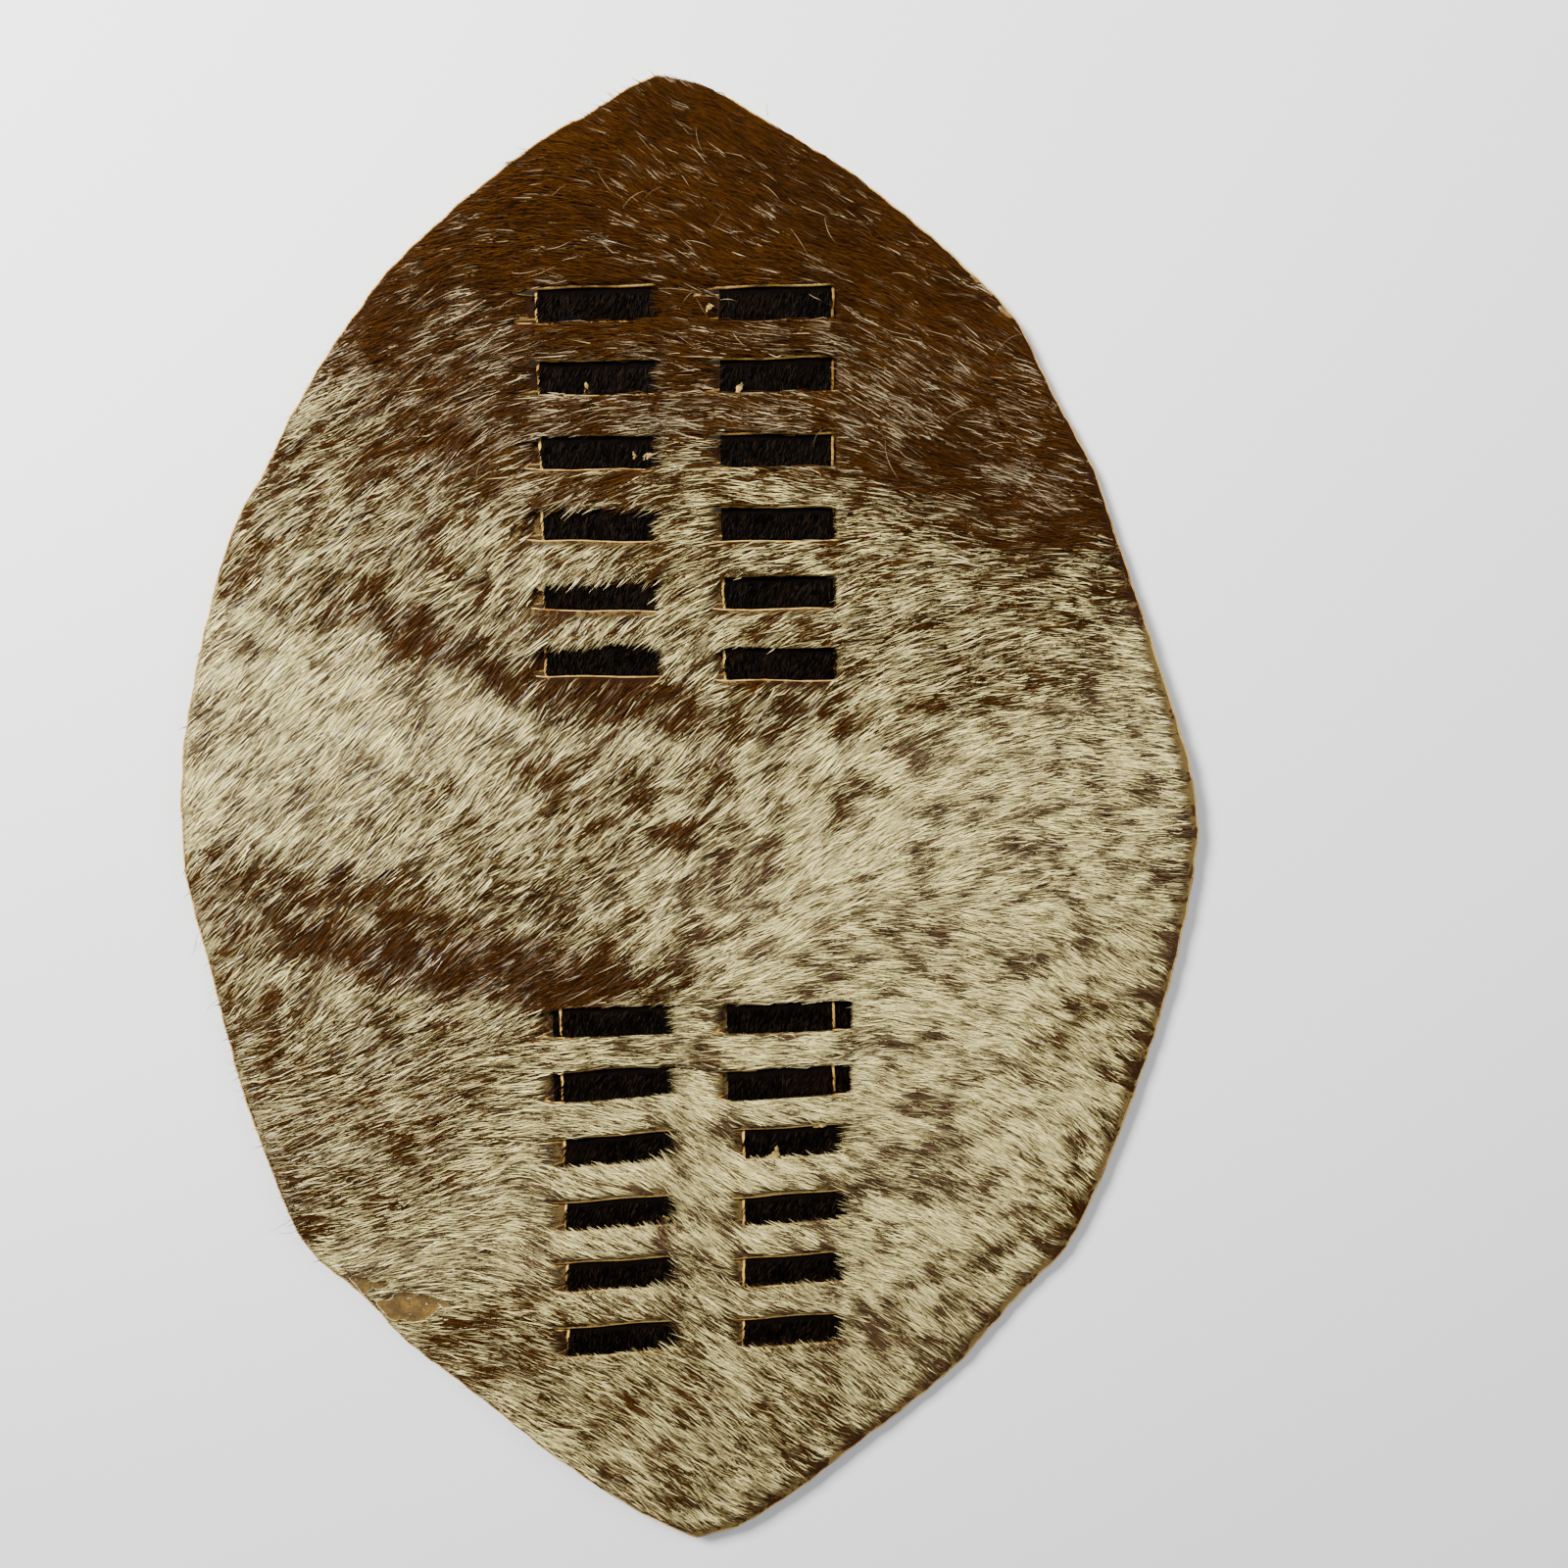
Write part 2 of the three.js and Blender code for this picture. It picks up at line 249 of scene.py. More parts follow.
add_lamp("key_lamp", (-0.8, 0.85, 1.05), (-0.02, 0.1, 0.0), 0.5, 87, (1.0, 0.985, 0.955))
add_lamp("fill_lamp", (1.1, 0.7, 1.1), (0.0, 0.1, 0.0), 0.8, 16, (0.98, 0.99, 1.0))
sky = bpy.data.worlds.new("studio_sky")
sky.use_nodes = True
plug_in_all(sky.node_tree, sky.node_tree.nodes["Background"].inputs, {
    "Color": (0.93, 0.96, 1.0, 1.0), "Strength": 0.34})
bpy.context.scene.world = sky
print("lamps and sky set")

# %% [markdown]
# ## Sizes and the plain level of the hide
# All sizes are in millimetres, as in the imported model. Hide curls as it dries, so both tips and
# the long edges stand a little off the floor, and the rim waves. One function gives the plain
# height of the hide over the floor, another one adds its dents, and all that lies on the shield
# asks them.

# %% Sizes of the hide
LENGTH, WIDTH, HIDE_THICKNESS = 654.0, 449.0, 2.4
STRIP_THICKNESS = 1.8
ROW_PITCH, WINDOW_HEIGHT, ROWS = 30.2, 14.2, 6
SLIT_LENGTH, SLIT_GAP, SLIT_END_GAP = 64.8, 2.0, 0.7
UPPER_FIRST_CUT, LOWER_FIRST_CUT = 244.0, -67.8
GROUP_SPAN = (ROWS - 1) * ROW_PITCH + WINDOW_HEIGHT
BAND_RISE, BAND_DROP, CLEARANCE, SIDE_CLEARANCE = 1.5, 1.5, 0.3, 0.5
# A strip ends TUCK behind the hide, the hide takes EASE to sink back to its plain level, and in
# the first SPLICE_ROWS of the lower rows two strips lie on each other
TUCK, EASE, SPLICE_ROWS = 24.0, 12.0, 2
WEAVE_STEP = (HIDE_THICKNESS + STRIP_THICKNESS) / 2 + CLEARANCE
LAYER_STEP = STRIP_THICKNESS + CLEARANCE
FLOOR_DEPTH = WEAVE_STEP + STRIP_THICKNESS / 2
FLAT_HALF_LENGTH, FLAT_HALF_WIDTH = 150, 90  # the middle, which lies flat
TOP_LIFT, BOTTOM_LIFT, SIDE_LIFT = 9.0, 5.0, 4.0
RIM_WAVES = 5


def plain_level(x, y):
    end = np.maximum(0, np.abs(y) - FLAT_HALF_LENGTH) / (LENGTH / 2 - FLAT_HALF_LENGTH)
    side = np.maximum(0, np.abs(x) - FLAT_HALF_WIDTH) / (WIDTH / 2 - FLAT_HALF_WIDTH)
    lift = np.where(y > 0, TOP_LIFT, BOTTOM_LIFT) * end ** 2 + SIDE_LIFT * side ** 2
    wave = np.maximum(end, side) ** 2 * np.sin(RIM_WAVES * np.arctan2(y, x))
    return FLOOR_DEPTH + lift + wave


def dents(x, y):
    """Slow unevenness of a hide that dried on the ground, never below the floor."""
    short_dents = np.sin(x / 17 + 1.3 * np.sin(y / 29)) * np.sin(y / 21 + 0.7)
    return 0.34 + 0.2 * (short_dents + 0.6 * np.sin(x / 43 - y / 37))


def resting_level(x, y):
    return plain_level(x, y) + dents(x, y)


# %% The hand-cut slits
HAND_CUT = {
    "left": [([0, -0.3, 0.5, 0.7, 0.4, -1.2], [0.01, 0, -0.01, -0.03, -0.03, -0.02]),
             ([0.4, -0.3, 1.2, 1.5, 0.8, 1.8], [0.02, 0.06, 0.06, 0.06, 0.05, 0.06])],
    "right": [([0.9, 0.1, 1.2, 2, 1, 1.9], [0.01, 0.01, -0.01, -0.01, 0, -0.02]),
              ([0, 0.5, -1, 0.6, 0, -0.9], [0.02, 0.05, 0.04, 0.07, 0.06, 0.06])],
}
COLUMN_MIDDLE = {"left": -36.45, "right": 42.85}
SLIT_ROOM = {"left": 12.8, "right": 16.3}
# How far a strip leans in its slits at its first and last row, and which layer it is in the splice
STRIP_LEAN = {
    ("left", "upper"): (0.46, -0.48, "back"), ("left", "lower"): (0.23, -0.13, "front"),
    ("right", "upper"): (-0.07, -0.6, "front"), ("right", "lower"): (0.39, -0.1, "back"),
}

# %% Lines across a column
def cut_line(y, slope, rise, **marks):
    """One line across a column: its place along the shield, its slope, its rise and what is there."""
    unmarked = dict(covered=False, doubled=False, gap_below=False, edge=0, band=False)
    return dict(unmarked, y=y, slope=slope, rise=rise, **marks)


def window_top(first_cut, shifts, row):
    return first_cut - row * ROW_PITCH - shifts[row]


def group_lines(first_cut, cuts, doubled_rows):
    """The lines of six rows: both sides of every slit, and the middles of windows and bands."""
    shifts, slopes = cuts
    lines = []
    for row, slope in enumerate(slopes):
        top = window_top(first_cut, shifts, row)
        bottom, doubled = top - WINDOW_HEIGHT, row < doubled_rows
        raised = dict(rise=LAYER_STEP if doubled else BAND_RISE, doubled=doubled)
        sunk = dict(rise=-BAND_DROP, doubled=doubled, covered=True)
        lines += [
            cut_line(top, slope, **raised, gap_below=True, edge=-1),
            cut_line(top - SLIT_GAP, slope, **sunk, edge=1),
            cut_line((top + bottom) / 2, slope, **sunk),
            cut_line(bottom + SLIT_GAP, slope, **sunk, gap_below=True, edge=-1),
            cut_line(bottom, slope, **raised, edge=1),
        ]
        if row < ROWS - 1:
            next_top = window_top(first_cut, shifts, row + 1)
            lines.append(cut_line((bottom + next_top) / 2, (slope + slopes[row + 1]) / 2, **raised, band=True))
    return lines


def column_lines(side):
    upper = group_lines(UPPER_FIRST_CUT, HAND_CUT[side][0], 0)
    lower = group_lines(LOWER_FIRST_CUT, HAND_CUT[side][1], SPLICE_ROWS)
    tucked = cut_line(lower[0]["y"] + TUCK, 0, LAYER_STEP, doubled=True)
    field = [cut_line(y, 0, 0) for y in np.linspace(upper[-1]["y"] - EASE, tucked["y"] + EASE, 6)]
    return {
        "upper": [cut_line(upper[0]["y"] + EASE, 0, 0)] + upper + field + [tucked],
        "lower": lower + [cut_line(lower[-1]["y"] - EASE, 0, 0)],
    }


LINES = {side: column_lines(side) for side in ("left", "right")}
print("cut lines a column:", len(LINES["left"]["upper"]) + len(LINES["left"]["lower"]))

# %% Where a strip lies in its slits
def strip_edges(side, which, y):
    first, last, _ = STRIP_LEAN[side, which]
    if which == "upper":
        start, end = UPPER_FIRST_CUT, LOWER_FIRST_CUT - SPLICE_ROWS * ROW_PITCH
    else:
        start, end = LOWER_FIRST_CUT, LOWER_FIRST_CUT - GROUP_SPAN
    share = min(1.0, max(0.0, (start - y) / (start - end)))
    middle = COLUMN_MIDDLE[side] + (first + (last - first) * share) * SLIT_ROOM[side] / 2
    half = (SLIT_LENGTH - SLIT_ROOM[side]) / 2
    return middle - half, middle + half


def edges_at(side, here, part):
    """Where the sheet turns down beside the strips that lie on a line."""
    lying = ["upper", "lower"] if here["doubled"] else [part]
    edges = [strip_edges(side, which, here["y"]) for which in lying]
    return min(e[0] for e in edges) - SIDE_CLEARANCE, max(e[1] for e in edges) + SIDE_CLEARANCE


# %% [markdown]
# ## The hide
# The hide is one sheet of even thickness, opened along each slit. A subdivided plane with a
# boolean for every slit would give ragged meshes at the cuts. Here its middle surface is drawn row
# by row, each row running from slit end to slit end of both columns, with extra rows close to each
# cut so that the lip can be rounded. Rings then carry the sheet out to the cut edge.

# %% Rows of the woven middle
UPPER_LIP, LOWER_LIP = 0.45, 1.0  # widths of the rounded, bare lips above and below a cut
ROW_SPACING = 2.2
CROWN = 0.5  # how far a band bulges up over the strip that it passes
HAND_WOBBLE = 0.25  # how far a knife strays from its line


def s_curve(t):
    return t * t * (3 - 2 * t)


def line_profile(side, here, part):
    """Slit end, strip edge, middle, strip edge, slit end: place across, along and rise."""
    left, right = edges_at(side, here, part)
    middle = COLUMN_MIDDLE[side]
    closing = here["edge"] * (SLIT_GAP - SLIT_END_GAP) / 2
    across = np.array([middle - SLIT_LENGTH / 2, left, (left + right) / 2, right, middle + SLIT_LENGTH / 2])
    along = here["y"] + here["slope"] * (across - middle) + np.array([closing, 0, 0, 0, closing])
    return across, along, here["rise"] * np.array([0, 1, 1, 1, 0.0])


def fill_between(values, steps, curve=None):
    pieces = []
    for i, count in enumerate(steps):
        t = np.arange(count) / count
        t = curve(t) if curve else t
        pieces.append(values[i] + (values[i + 1] - values[i]) * t)
    return np.concatenate(pieces + [values[-1:]])


# %% All rows, from the top slit to the bottom one
ACROSS_STEPS = (5, 8, 8, 5)
rows_at, row_flags = [], []
for part in ("upper", "lower"):
    pairs = list(zip(LINES["left"][part], LINES["right"][part]))
    for n, (here, _) in enumerate(pairs):
        last_of_sheet = n == len(pairs) - 1
        follows = None if last_of_sheet or here["gap_below"] else pairs[n + 1][0]
        stations = [0.0]
        if follows:
            gap = abs(here["y"] - follows["y"])
            steps = max(1, round(gap / ROW_SPACING))
            stations += list(np.arange(1, steps) / steps)
            if here["edge"] == 1:
                stations.append(UPPER_LIP / gap)
            if follows["gap_below"]:
                stations = [t for t in stations if abs(t - 1 + LOWER_LIP / gap) > 0.08] + [1 - LOWER_LIP / gap]
        elif last_of_sheet and part == "upper":
            follows = LINES["left"]["lower"][0]
            stations += [0.2, 0.4, 0.6, 0.8, 1 - LOWER_LIP / TUCK]
        for t in sorted(set(stations)):
            crown = 0.0
            if here["band"] or (here["edge"] == 1 and follows and follows["band"]):
                crown = CROWN * math.sin(math.pi * (t / 2 + (0.5 if here["band"] else 0)))
            row = []
            for side in ("left", "right"):
                across, along, rise = line_profile(side, LINES[side][part][n], part)
                if t:
                    next_part, next_line = ("lower", 0) if last_of_sheet else (part, n + 1)
                    to_across, to_along, to_rise = line_profile(side, LINES[side][next_part][next_line], next_part)
                    across = across + (to_across - across) * t
                    along = along + (to_along - along) * t
                    rise = rise + (to_rise - rise) * s_curve(t)
                x = fill_between(across, ACROSS_STEPS)
                y = fill_between(along, ACROSS_STEPS)
                rise = fill_between(rise, ACROSS_STEPS, s_curve)
                rise = rise + crown * s_curve(np.clip(rise / BAND_RISE, 0, 1))
                row.append(np.stack([x, y + HAND_WOBBLE * np.sin(x / 6.1 + y / 9), rise], axis=1))
            rows_at.append(np.concatenate(row))
            row_flags.append((here["gap_below"] and t == 0, here["covered"] and not here["gap_below"]))
PER_COLUMN = sum(ACROSS_STEPS) + 1
middle_rows = np.array(rows_at)
print("woven middle:", middle_rows.shape[0], "rows of", middle_rows.shape[1])

# %% Faces of the woven middle
row_count, across_count = middle_rows.shape[:2]
sheet_points = middle_rows.reshape(-1, 3).copy()
sheet_points[:, 2] += resting_level(sheet_points[:, 0], sheet_points[:, 1])
sheet_faces, face_is_covered = [], []
for r in range(row_count - 1):
    gap, covered = row_flags[r]
    for c in range(across_count - 1):
        if gap and c != PER_COLUMN - 1:
            continue
        a, b = r * across_count + c, (r + 1) * across_count + c
        sheet_faces += [(a, b, b + 1), (a, b + 1, a + 1)]
        first_hidden = ACROSS_STEPS[0] - (1 if c < PER_COLUMN else 0)
        hidden = covered and first_hidden <= c % PER_COLUMN < PER_COLUMN - ACROSS_STEPS[-1]
        face_is_covered += [hidden and c != PER_COLUMN - 1] * 2
print("faces of the middle:", len(sheet_faces))

# %% The cut outline
# Drawn shares of half the width and half the length, clockwise from the top tip
OUTLINE_SHARES = [
    (-0.01, 1), (0.07, 0.985), (0.18, 0.943), (0.33, 0.882), (0.5, 0.791), (0.64, 0.697),
    (0.712, 0.603), (0.788, 0.509), (0.836, 0.415), (0.93, 0.225), (0.982, 0.109), (1, 0.021),
    (0.965, -0.149), (0.88, -0.355), (0.752, -0.567), (0.655, -0.64), (0.522, -0.746), (0.323, -0.858),
    (0.11, -0.967), (-0.005, -1), (-0.118, -0.967), (-0.292, -0.885), (-0.478, -0.773), (-0.606, -0.697),
    (-0.7, -0.621), (-0.805, -0.548), (-0.88, -0.403), (-0.92, -0.297), (-0.962, -0.135), (-0.992, -0.02),
    (-0.991, 0.079), (-0.973, 0.179), (-0.867, 0.433), (-0.788, 0.527), (-0.708, 0.621), (-0.575, 0.742),
    (-0.491, 0.8), (-0.257, 0.918), (-0.137, 0.961), (-0.07, 0.986),
]


def smooth_outline(shares, steps=60):
    """A closed curve through all points that never overshoots where points crowd together."""
    drawn = np.array(shares, float)
    samples = []
    for i in range(len(drawn)):
        p = [drawn[(i + k - 1) % len(drawn)] for k in range(4)]
        knots = [0.0]
        for k in range(3):
            knots.append(knots[-1] + max(1e-4, np.linalg.norm(p[k + 1] - p[k])) ** 0.5)
        t = np.linspace(knots[1], knots[2], steps, endpoint=False)[:, None]
        for span in (1, 2):
            p = [((knots[k + span] - t) * p[k] + (t - knots[k]) * p[k + 1]) / (knots[k + span] - knots[k])
                 for k in range(4 - span)]
        samples.append(((knots[2] - t) * p[0] + (t - knots[1]) * p[1]) / (knots[2] - knots[1]))
    curve = np.concatenate(samples)
    low, high = curve.min(axis=0), curve.max(axis=0)
    return (curve - (low + high) / 2) / (high - low) * np.array([WIDTH, LENGTH])


outline = smooth_outline(OUTLINE_SHARES)
outline_angle = np.unwrap(np.arctan2(outline[:, 1], outline[:, 0]))
turn_order = np.argsort(np.mod(outline_angle, 2 * math.pi))
outline_turn = np.mod(outline_angle, 2 * math.pi)[turn_order]
outline_reach = np.hypot(outline[:, 0], outline[:, 1])[turn_order]


def reach_at(x, y):
    """How far the cut edge is from the middle, in the direction of a point."""
    angle = np.mod(np.arctan2(y, x), 2 * math.pi)
    nibble = 0.28 * np.sin(angle * 61) * np.sin(angle * 17 + 1) + 0.2 * np.sin(angle * 143 + 2)
    return np.interp(angle, outline_turn, outline_reach, period=2 * math.pi) + nibble


# %% Rings out to the cut edge
EDGE_LIP = 1.0
loop_left = [r * across_count for r in range(row_count)]
loop_right = [r * across_count + across_count - 1 for r in range(row_count)][::-1]
loop_bottom = [(row_count - 1) * across_count + c for c in range(1, across_count - 1)]
loop_top = list(range(1, across_count - 1))[::-1]
inner = np.array(loop_left + loop_bottom + loop_right + loop_top)
start = sheet_points[inner, :2]
finish = start / np.hypot(start[:, 0], start[:, 1])[:, None] * reach_at(start[:, 0], start[:, 1])[:, None]
run = np.linalg.norm(finish - start, axis=1)
ring_faces = []
all_points = [sheet_points]
total = len(sheet_points)
for share in (0.05, 0.12, 0.22, 0.34, 0.47, 0.6, 0.73, 0.84, 0.93, "lip", 1.0):
    s = (1 - EDGE_LIP / run)[:, None] if share == "lip" else share
    at = start + (finish - start) * s
    ring = np.arange(total, total + len(at))
    all_points.append(np.column_stack([at, resting_level(at[:, 0], at[:, 1])]))
    a, b = inner, np.roll(inner, -1)
    c, d = ring, np.roll(ring, -1)
    ring_faces += [np.stack([c, d, b], axis=1), np.stack([c, b, a], axis=1)]
    inner, total = ring, total + len(at)
sheet_points = np.concatenate(all_points)
middle_face_count = len(sheet_faces)
sheet_faces = np.concatenate([np.array(sheet_faces)] + ring_faces)
face_is_covered = np.concatenate([np.array(face_is_covered), np.zeros(len(sheet_faces) - middle_face_count, bool)])
print("sheet:", len(sheet_points), "points,", len(sheet_faces), "faces")

# %% From a middle surface to a sheet with rounded, slightly torn lips
def boundary_edges(faces):
    """Edges with a face on one side only, in the direction that their face runs."""
    directed = np.concatenate([faces[:, [0, 1]], faces[:, [1, 2]], faces[:, [2, 0]]])
    size = int(directed.max()) + 1
    keys = directed[:, 0] * size + directed[:, 1]
    opposite = directed[:, 1] * size + directed[:, 0]
    return directed[~np.isin(keys, opposite)]


WALL_BULGE, WALL_JITTER = 0.1, 0.1
LIP_BARE = 0.8  # how bare the front and back are at their very edge, while the wall is wholly bare


def thicken(points, faces, thickness, lip_drop, tear=0.12, seed=1):
    """Front, back and a wall of two quads high. Returns points, faces and two values per point."""
    rng = np.random.default_rng(seed)
    count = len(points)
    edges = boundary_edges(faces)
    on_edge = np.zeros(count, bool)
    on_edge[edges.ravel()] = True
    outward = np.zeros((count, 2))
    step = points[edges[:, 1], :2] - points[edges[:, 0], :2]
    normal = np.stack([step[:, 1], -step[:, 0]], axis=1)
    np.add.at(outward, edges[:, 0], normal)
    np.add.at(outward, edges[:, 1], normal)
    outward /= np.maximum(np.linalg.norm(outward, axis=1), 1e-9)[:, None]
    front, back = points.copy(), points.copy()
    front[:, 2] += thickness / 2 - lip_drop * on_edge
    back[:, 2] -= thickness / 2 - 0.5 * lip_drop * on_edge
    wall_ids = np.flatnonzero(on_edge)
    wall = points[wall_ids].copy()
    wall[:, :2] += outward[wall_ids] * (WALL_BULGE + tear * rng.normal(size=len(wall_ids)))[:, None]
    wall[:, 2] += rng.normal(size=len(wall_ids)) * WALL_JITTER
    middle_of = np.full(count, -1)
    middle_of[wall_ids] = 2 * count + np.arange(len(wall_ids))
    a, b = edges[:, 0], edges[:, 1]
    strips = []
    for low_a, low_b, high_a, high_b in ((a + count, b + count, middle_of[a], middle_of[b]),
                                         (middle_of[a], middle_of[b], a, b)):
        strips += [np.stack([low_a, low_b, high_b], axis=1), np.stack([low_a, high_b, high_a], axis=1)]
    all_faces = np.concatenate([faces, faces[:, [0, 2, 1]] + count] + strips)
    cut = np.concatenate([on_edge * LIP_BARE, on_edge * LIP_BARE, np.ones(len(wall_ids))])
    flesh = np.concatenate([np.zeros(count), np.ones(count), np.full(len(wall_ids), 0.5)])
    return np.concatenate([front, back, wall]), all_faces, cut, flesh

# %% Meshes from points and faces
def grid_faces(rows, columns):
    """Triangles of a grid of points: one of each cell, and then the other one of each cell."""
    first = (np.arange(rows - 1)[:, None] * columns + np.arange(columns - 1)).ravel()
    return np.concatenate([np.stack([first, first + columns, first + columns + 1], axis=1),
                           np.stack([first, first + columns + 1, first + 1], axis=1)])


def joined(parts):
    """Several meshes as one, from pairs of points and faces."""
    starts = np.cumsum([0] + [len(points) for points, _ in parts])
    return (np.concatenate([points for points, _ in parts]),
            np.concatenate([faces + start for (_, faces), start in zip(parts, starts)]))


def build_mesh(name, points, triangles, material, **values):
    """A triangle mesh from millimetre points, with named values at its points."""
    mesh = bpy.data.meshes.new(name)
    mesh.materials.append(material)
    mesh.vertices.add(len(points))
    mesh.vertices.foreach_set("co", (np.asarray(points) * MM).astype(np.float32).ravel())
    triangles = np.asarray(triangles, np.int32)
    mesh.loops.add(triangles.size)
    mesh.loops.foreach_set("vertex_index", triangles.ravel())
    mesh.polygons.add(len(triangles))
    mesh.polygons.foreach_set("loop_start", np.arange(0, triangles.size, 3, dtype=np.int32))
    mesh.polygons.foreach_set("use_smooth", np.ones(len(triangles), bool))
    mesh.update(calc_edges=True)
    for label, numbers in values.items():
        numbers = np.asarray(numbers, np.float32)
        kind, field = ("FLOAT_VECTOR", "vector") if numbers.ndim == 2 else ("FLOAT", "value")
        mesh.attributes.new(label, kind, "POINT").data.foreach_set(field, numbers.ravel())
    piece = bpy.data.objects.new(name, mesh)
    bpy.context.scene.collection.objects.link(piece)
    return piece

# %% The hide as a sheet
hide_points, hide_faces, hide_cut, hide_flesh = thicken(sheet_points, sheet_faces, HIDE_THICKNESS, 0.35)
print("hide:", len(hide_faces), "triangles")

# %% [markdown]
# ## The brown and cream map
# The coat is roan: brown and cream hairs are mixed, and only their shares change from place to
# place. A painted image could say where it is browner. Instead a short list of soft ovals gives
# the share of brown, and noise in the finish breaks it into flecks.

# %% How brown the coat is at a place
# Middle across and along, half widths, turn in degrees, share of brown, all judged
BROWN_AREAS = [
    (100, -20, 110, 170, 0, 0.34), (-150, 60, 100, 110, 0, 0.43), (20, -150, 130, 100, 0, 0.41),
    (0, -275, 130, 70, 0, 0.56), (-105, 205, 85, 50, 25, 0.70), (-145, 140, 80, 38, 0, 0.69),
    (-182, 45, 62, 60, 0, 0.31), (-120, 40, 50, 34, 30, 0.38), (206, -10, 24, 116, 0, 0.38),
    (118, 100, 70, 44, 0, 0.66), (107, -20, 66, 46, 0, 0.29), (40, 28, 50, 28, 0, 0.56), (98, 150, 60, 38, 0, 0.62),
    (114, 212, 120, 56, -38, 0.92), (163, 178, 46, 30, -45, 0.91), (5, 222, 100, 46, 0, 0.93),
    (0, 300, 190, 84, 0, 0.996), (-75, 262, 76, 40, 25, 0.992), (20, 250, 120, 34, 0, 0.985),
    (-85, 208, 30, 36, 0, 0.86), (-5, 190, 100, 30, 0, 0.84), (3, 122, 82, 50, 0, 0.60), (75, 190, 36, 32, 0, 0.82),
    (-100, 102, 52, 10, -26, 0.88), (-14, 72, 58, 12, -9, 0.86), (58, 67, 44, 14, -6, 0.72),
    (-48, 25, 82, 28, 0, 0.64), (-80, -24, 84, 26, 0, 0.70), (-178, -12, 62, 22, -8, 0.80),
    (-82, -48, 90, 17, -8, 0.95), (-188, -129, 46, 52, 0, 0.68), (-125, -85, 70, 26, 0, 0.63),
    (171, -171, 26, 12, 45, 0.72), (-60, -245, 46, 28, 0, 0.58), (110, -200, 56, 46, 0, 0.36),
    (3, -115, 14, 20, 0, 0.28), (140, -250, 60, 50, 0, 0.46), (142, -192, 30, 22, 0, 0.52),
    (-28, -95, 40, 8, 0, 0.58), (-40, 163, 44, 12, 0, 0.76), (-205, -62, 26, 30, 0, 0.76),
    (-207, -12, 26, 20, 0, 0.84), (100, -92, 60, 84, 0, 0.37), (186, -102, 28, 40, 0, 0.56),
    (-150, -125, 66, 40, 0, 0.68), (-196, -150, 26, 30, 0, 0.78), (-95, -235, 40, 28, 0, 0.70),
]
# Where brown and cream hairs are mixed hair by hair, and not only fleck by fleck
MIXED_AREAS = [(-150, 60, 100, 190, 0, 0.22), (-100, 190, 70, 60, 0, 0.28), (0, -275, 130, 70, 0, 0.25),
               (-20, 10, 90, 60, 0, 0.24), (0, 290, 170, 60, 0, 0.12), (112, 180, 95, 100, -38, 0.38),
               (0, 190, 90, 70, 0, 0.36), (115, -60, 120, 170, 0, 0.07), (-140, -120, 90, 70, 0, 0.36),
               (-80, -235, 70, 50, 0, 0.34), (112, 110, 80, 50, 0, 0.30)]
BASE_SHARE, BASE_MIXING = 0.435, 0.15  # outside all areas
FLECK_SPREAD = 0.052  # how widely the fleck noise is spread about its middle
STRAND_SPREAD = 0.289  # the same for a random number from 0 to 1

# %% Soft ovals painted over one another
def oval(x, y, area, soft=0.9):
    """1 inside a turned oval and 0 outside it, with a soft edge."""
    middle_x, middle_y, half_x, half_y, turn, _ = area
    c, s = math.cos(math.radians(turn)), math.sin(math.radians(turn))
    across = ((x - middle_x) * c + (y - middle_y) * s) / half_x
    along = (-(x - middle_x) * s + (y - middle_y) * c) / half_y
    return s_curve(np.clip(1 + soft / 2 - np.hypot(across, along), 0, soft) / soft)


def painted(base, areas, x, y):
    """A value with soft ovals painted over it, one after the other."""
    value = np.full(np.shape(x), base)
    for area in areas:
        value = value + (area[-1] - value) * oval(x, y, area)
    return value


def coat_map(x, y):
    """Lean towards brown, set so that the noise gives the wanted share, and the mixing."""
    share, mixing = painted(BASE_SHARE, BROWN_AREAS, x, y), painted(BASE_MIXING, MIXED_AREAS, x, y)
    # Nearly the place on a bell curve that has this share of the curve below it
    score = 4.91 * (share ** 0.14 - (1 - share) ** 0.14)
    return dict(brown=score * np.hypot(FLECK_SPREAD, STRAND_SPREAD * mixing), mixing=mixing)


# %% Roan colour as a node group
roan_group, roan_in, roan_out = new_group(
    "Roan hair colour",
    [("Place", VECTOR, None), ("Strand", VALUE, 0.5), ("Brownness", VALUE, 0.0), ("Along", VALUE, 0.5),
     ("Mixing", VALUE, 0.28)],
    [("Color", COLOUR), ("Brown", VALUE)])
flecks = 0.0
for fleck_scale, fleck_share in ((78.0, 0.44), (205.0, 0.31), (480.0, 0.25)):
    fleck = speckle(roan_group, roan_in["Place"], fleck_scale)
    flecks = calc(roan_group, "ADD", flecks, calc(roan_group, "MULTIPLY", fleck, fleck_share))
wander = centred(roan_group, roan_in["Strand"], roan_in["Mixing"])
threshold = calc(roan_group, "SUBTRACT", 0.5, roan_in["Brownness"])
over = calc(roan_group, "SUBTRACT", calc(roan_group, "ADD", flecks, wander), threshold)
brown_mask = ramp_up(roan_group, over, -0.024, 0.024)
# Small pale flecks, which even the brown areas have
glints = ramp_up(roan_group, speckle(roan_group, roan_in["Place"], 290.0), 0.64, 0.69, 0.0, 0.75)
brown_mask = calc(roan_group, "MULTIPLY", brown_mask, calc(roan_group, "SUBTRACT", 1.0, glints))
# A second random number for each hair, made from its first one
tone = calc(roan_group, "FRACT", calc(roan_group, "MULTIPLY", roan_in["Strand"], 7.31))

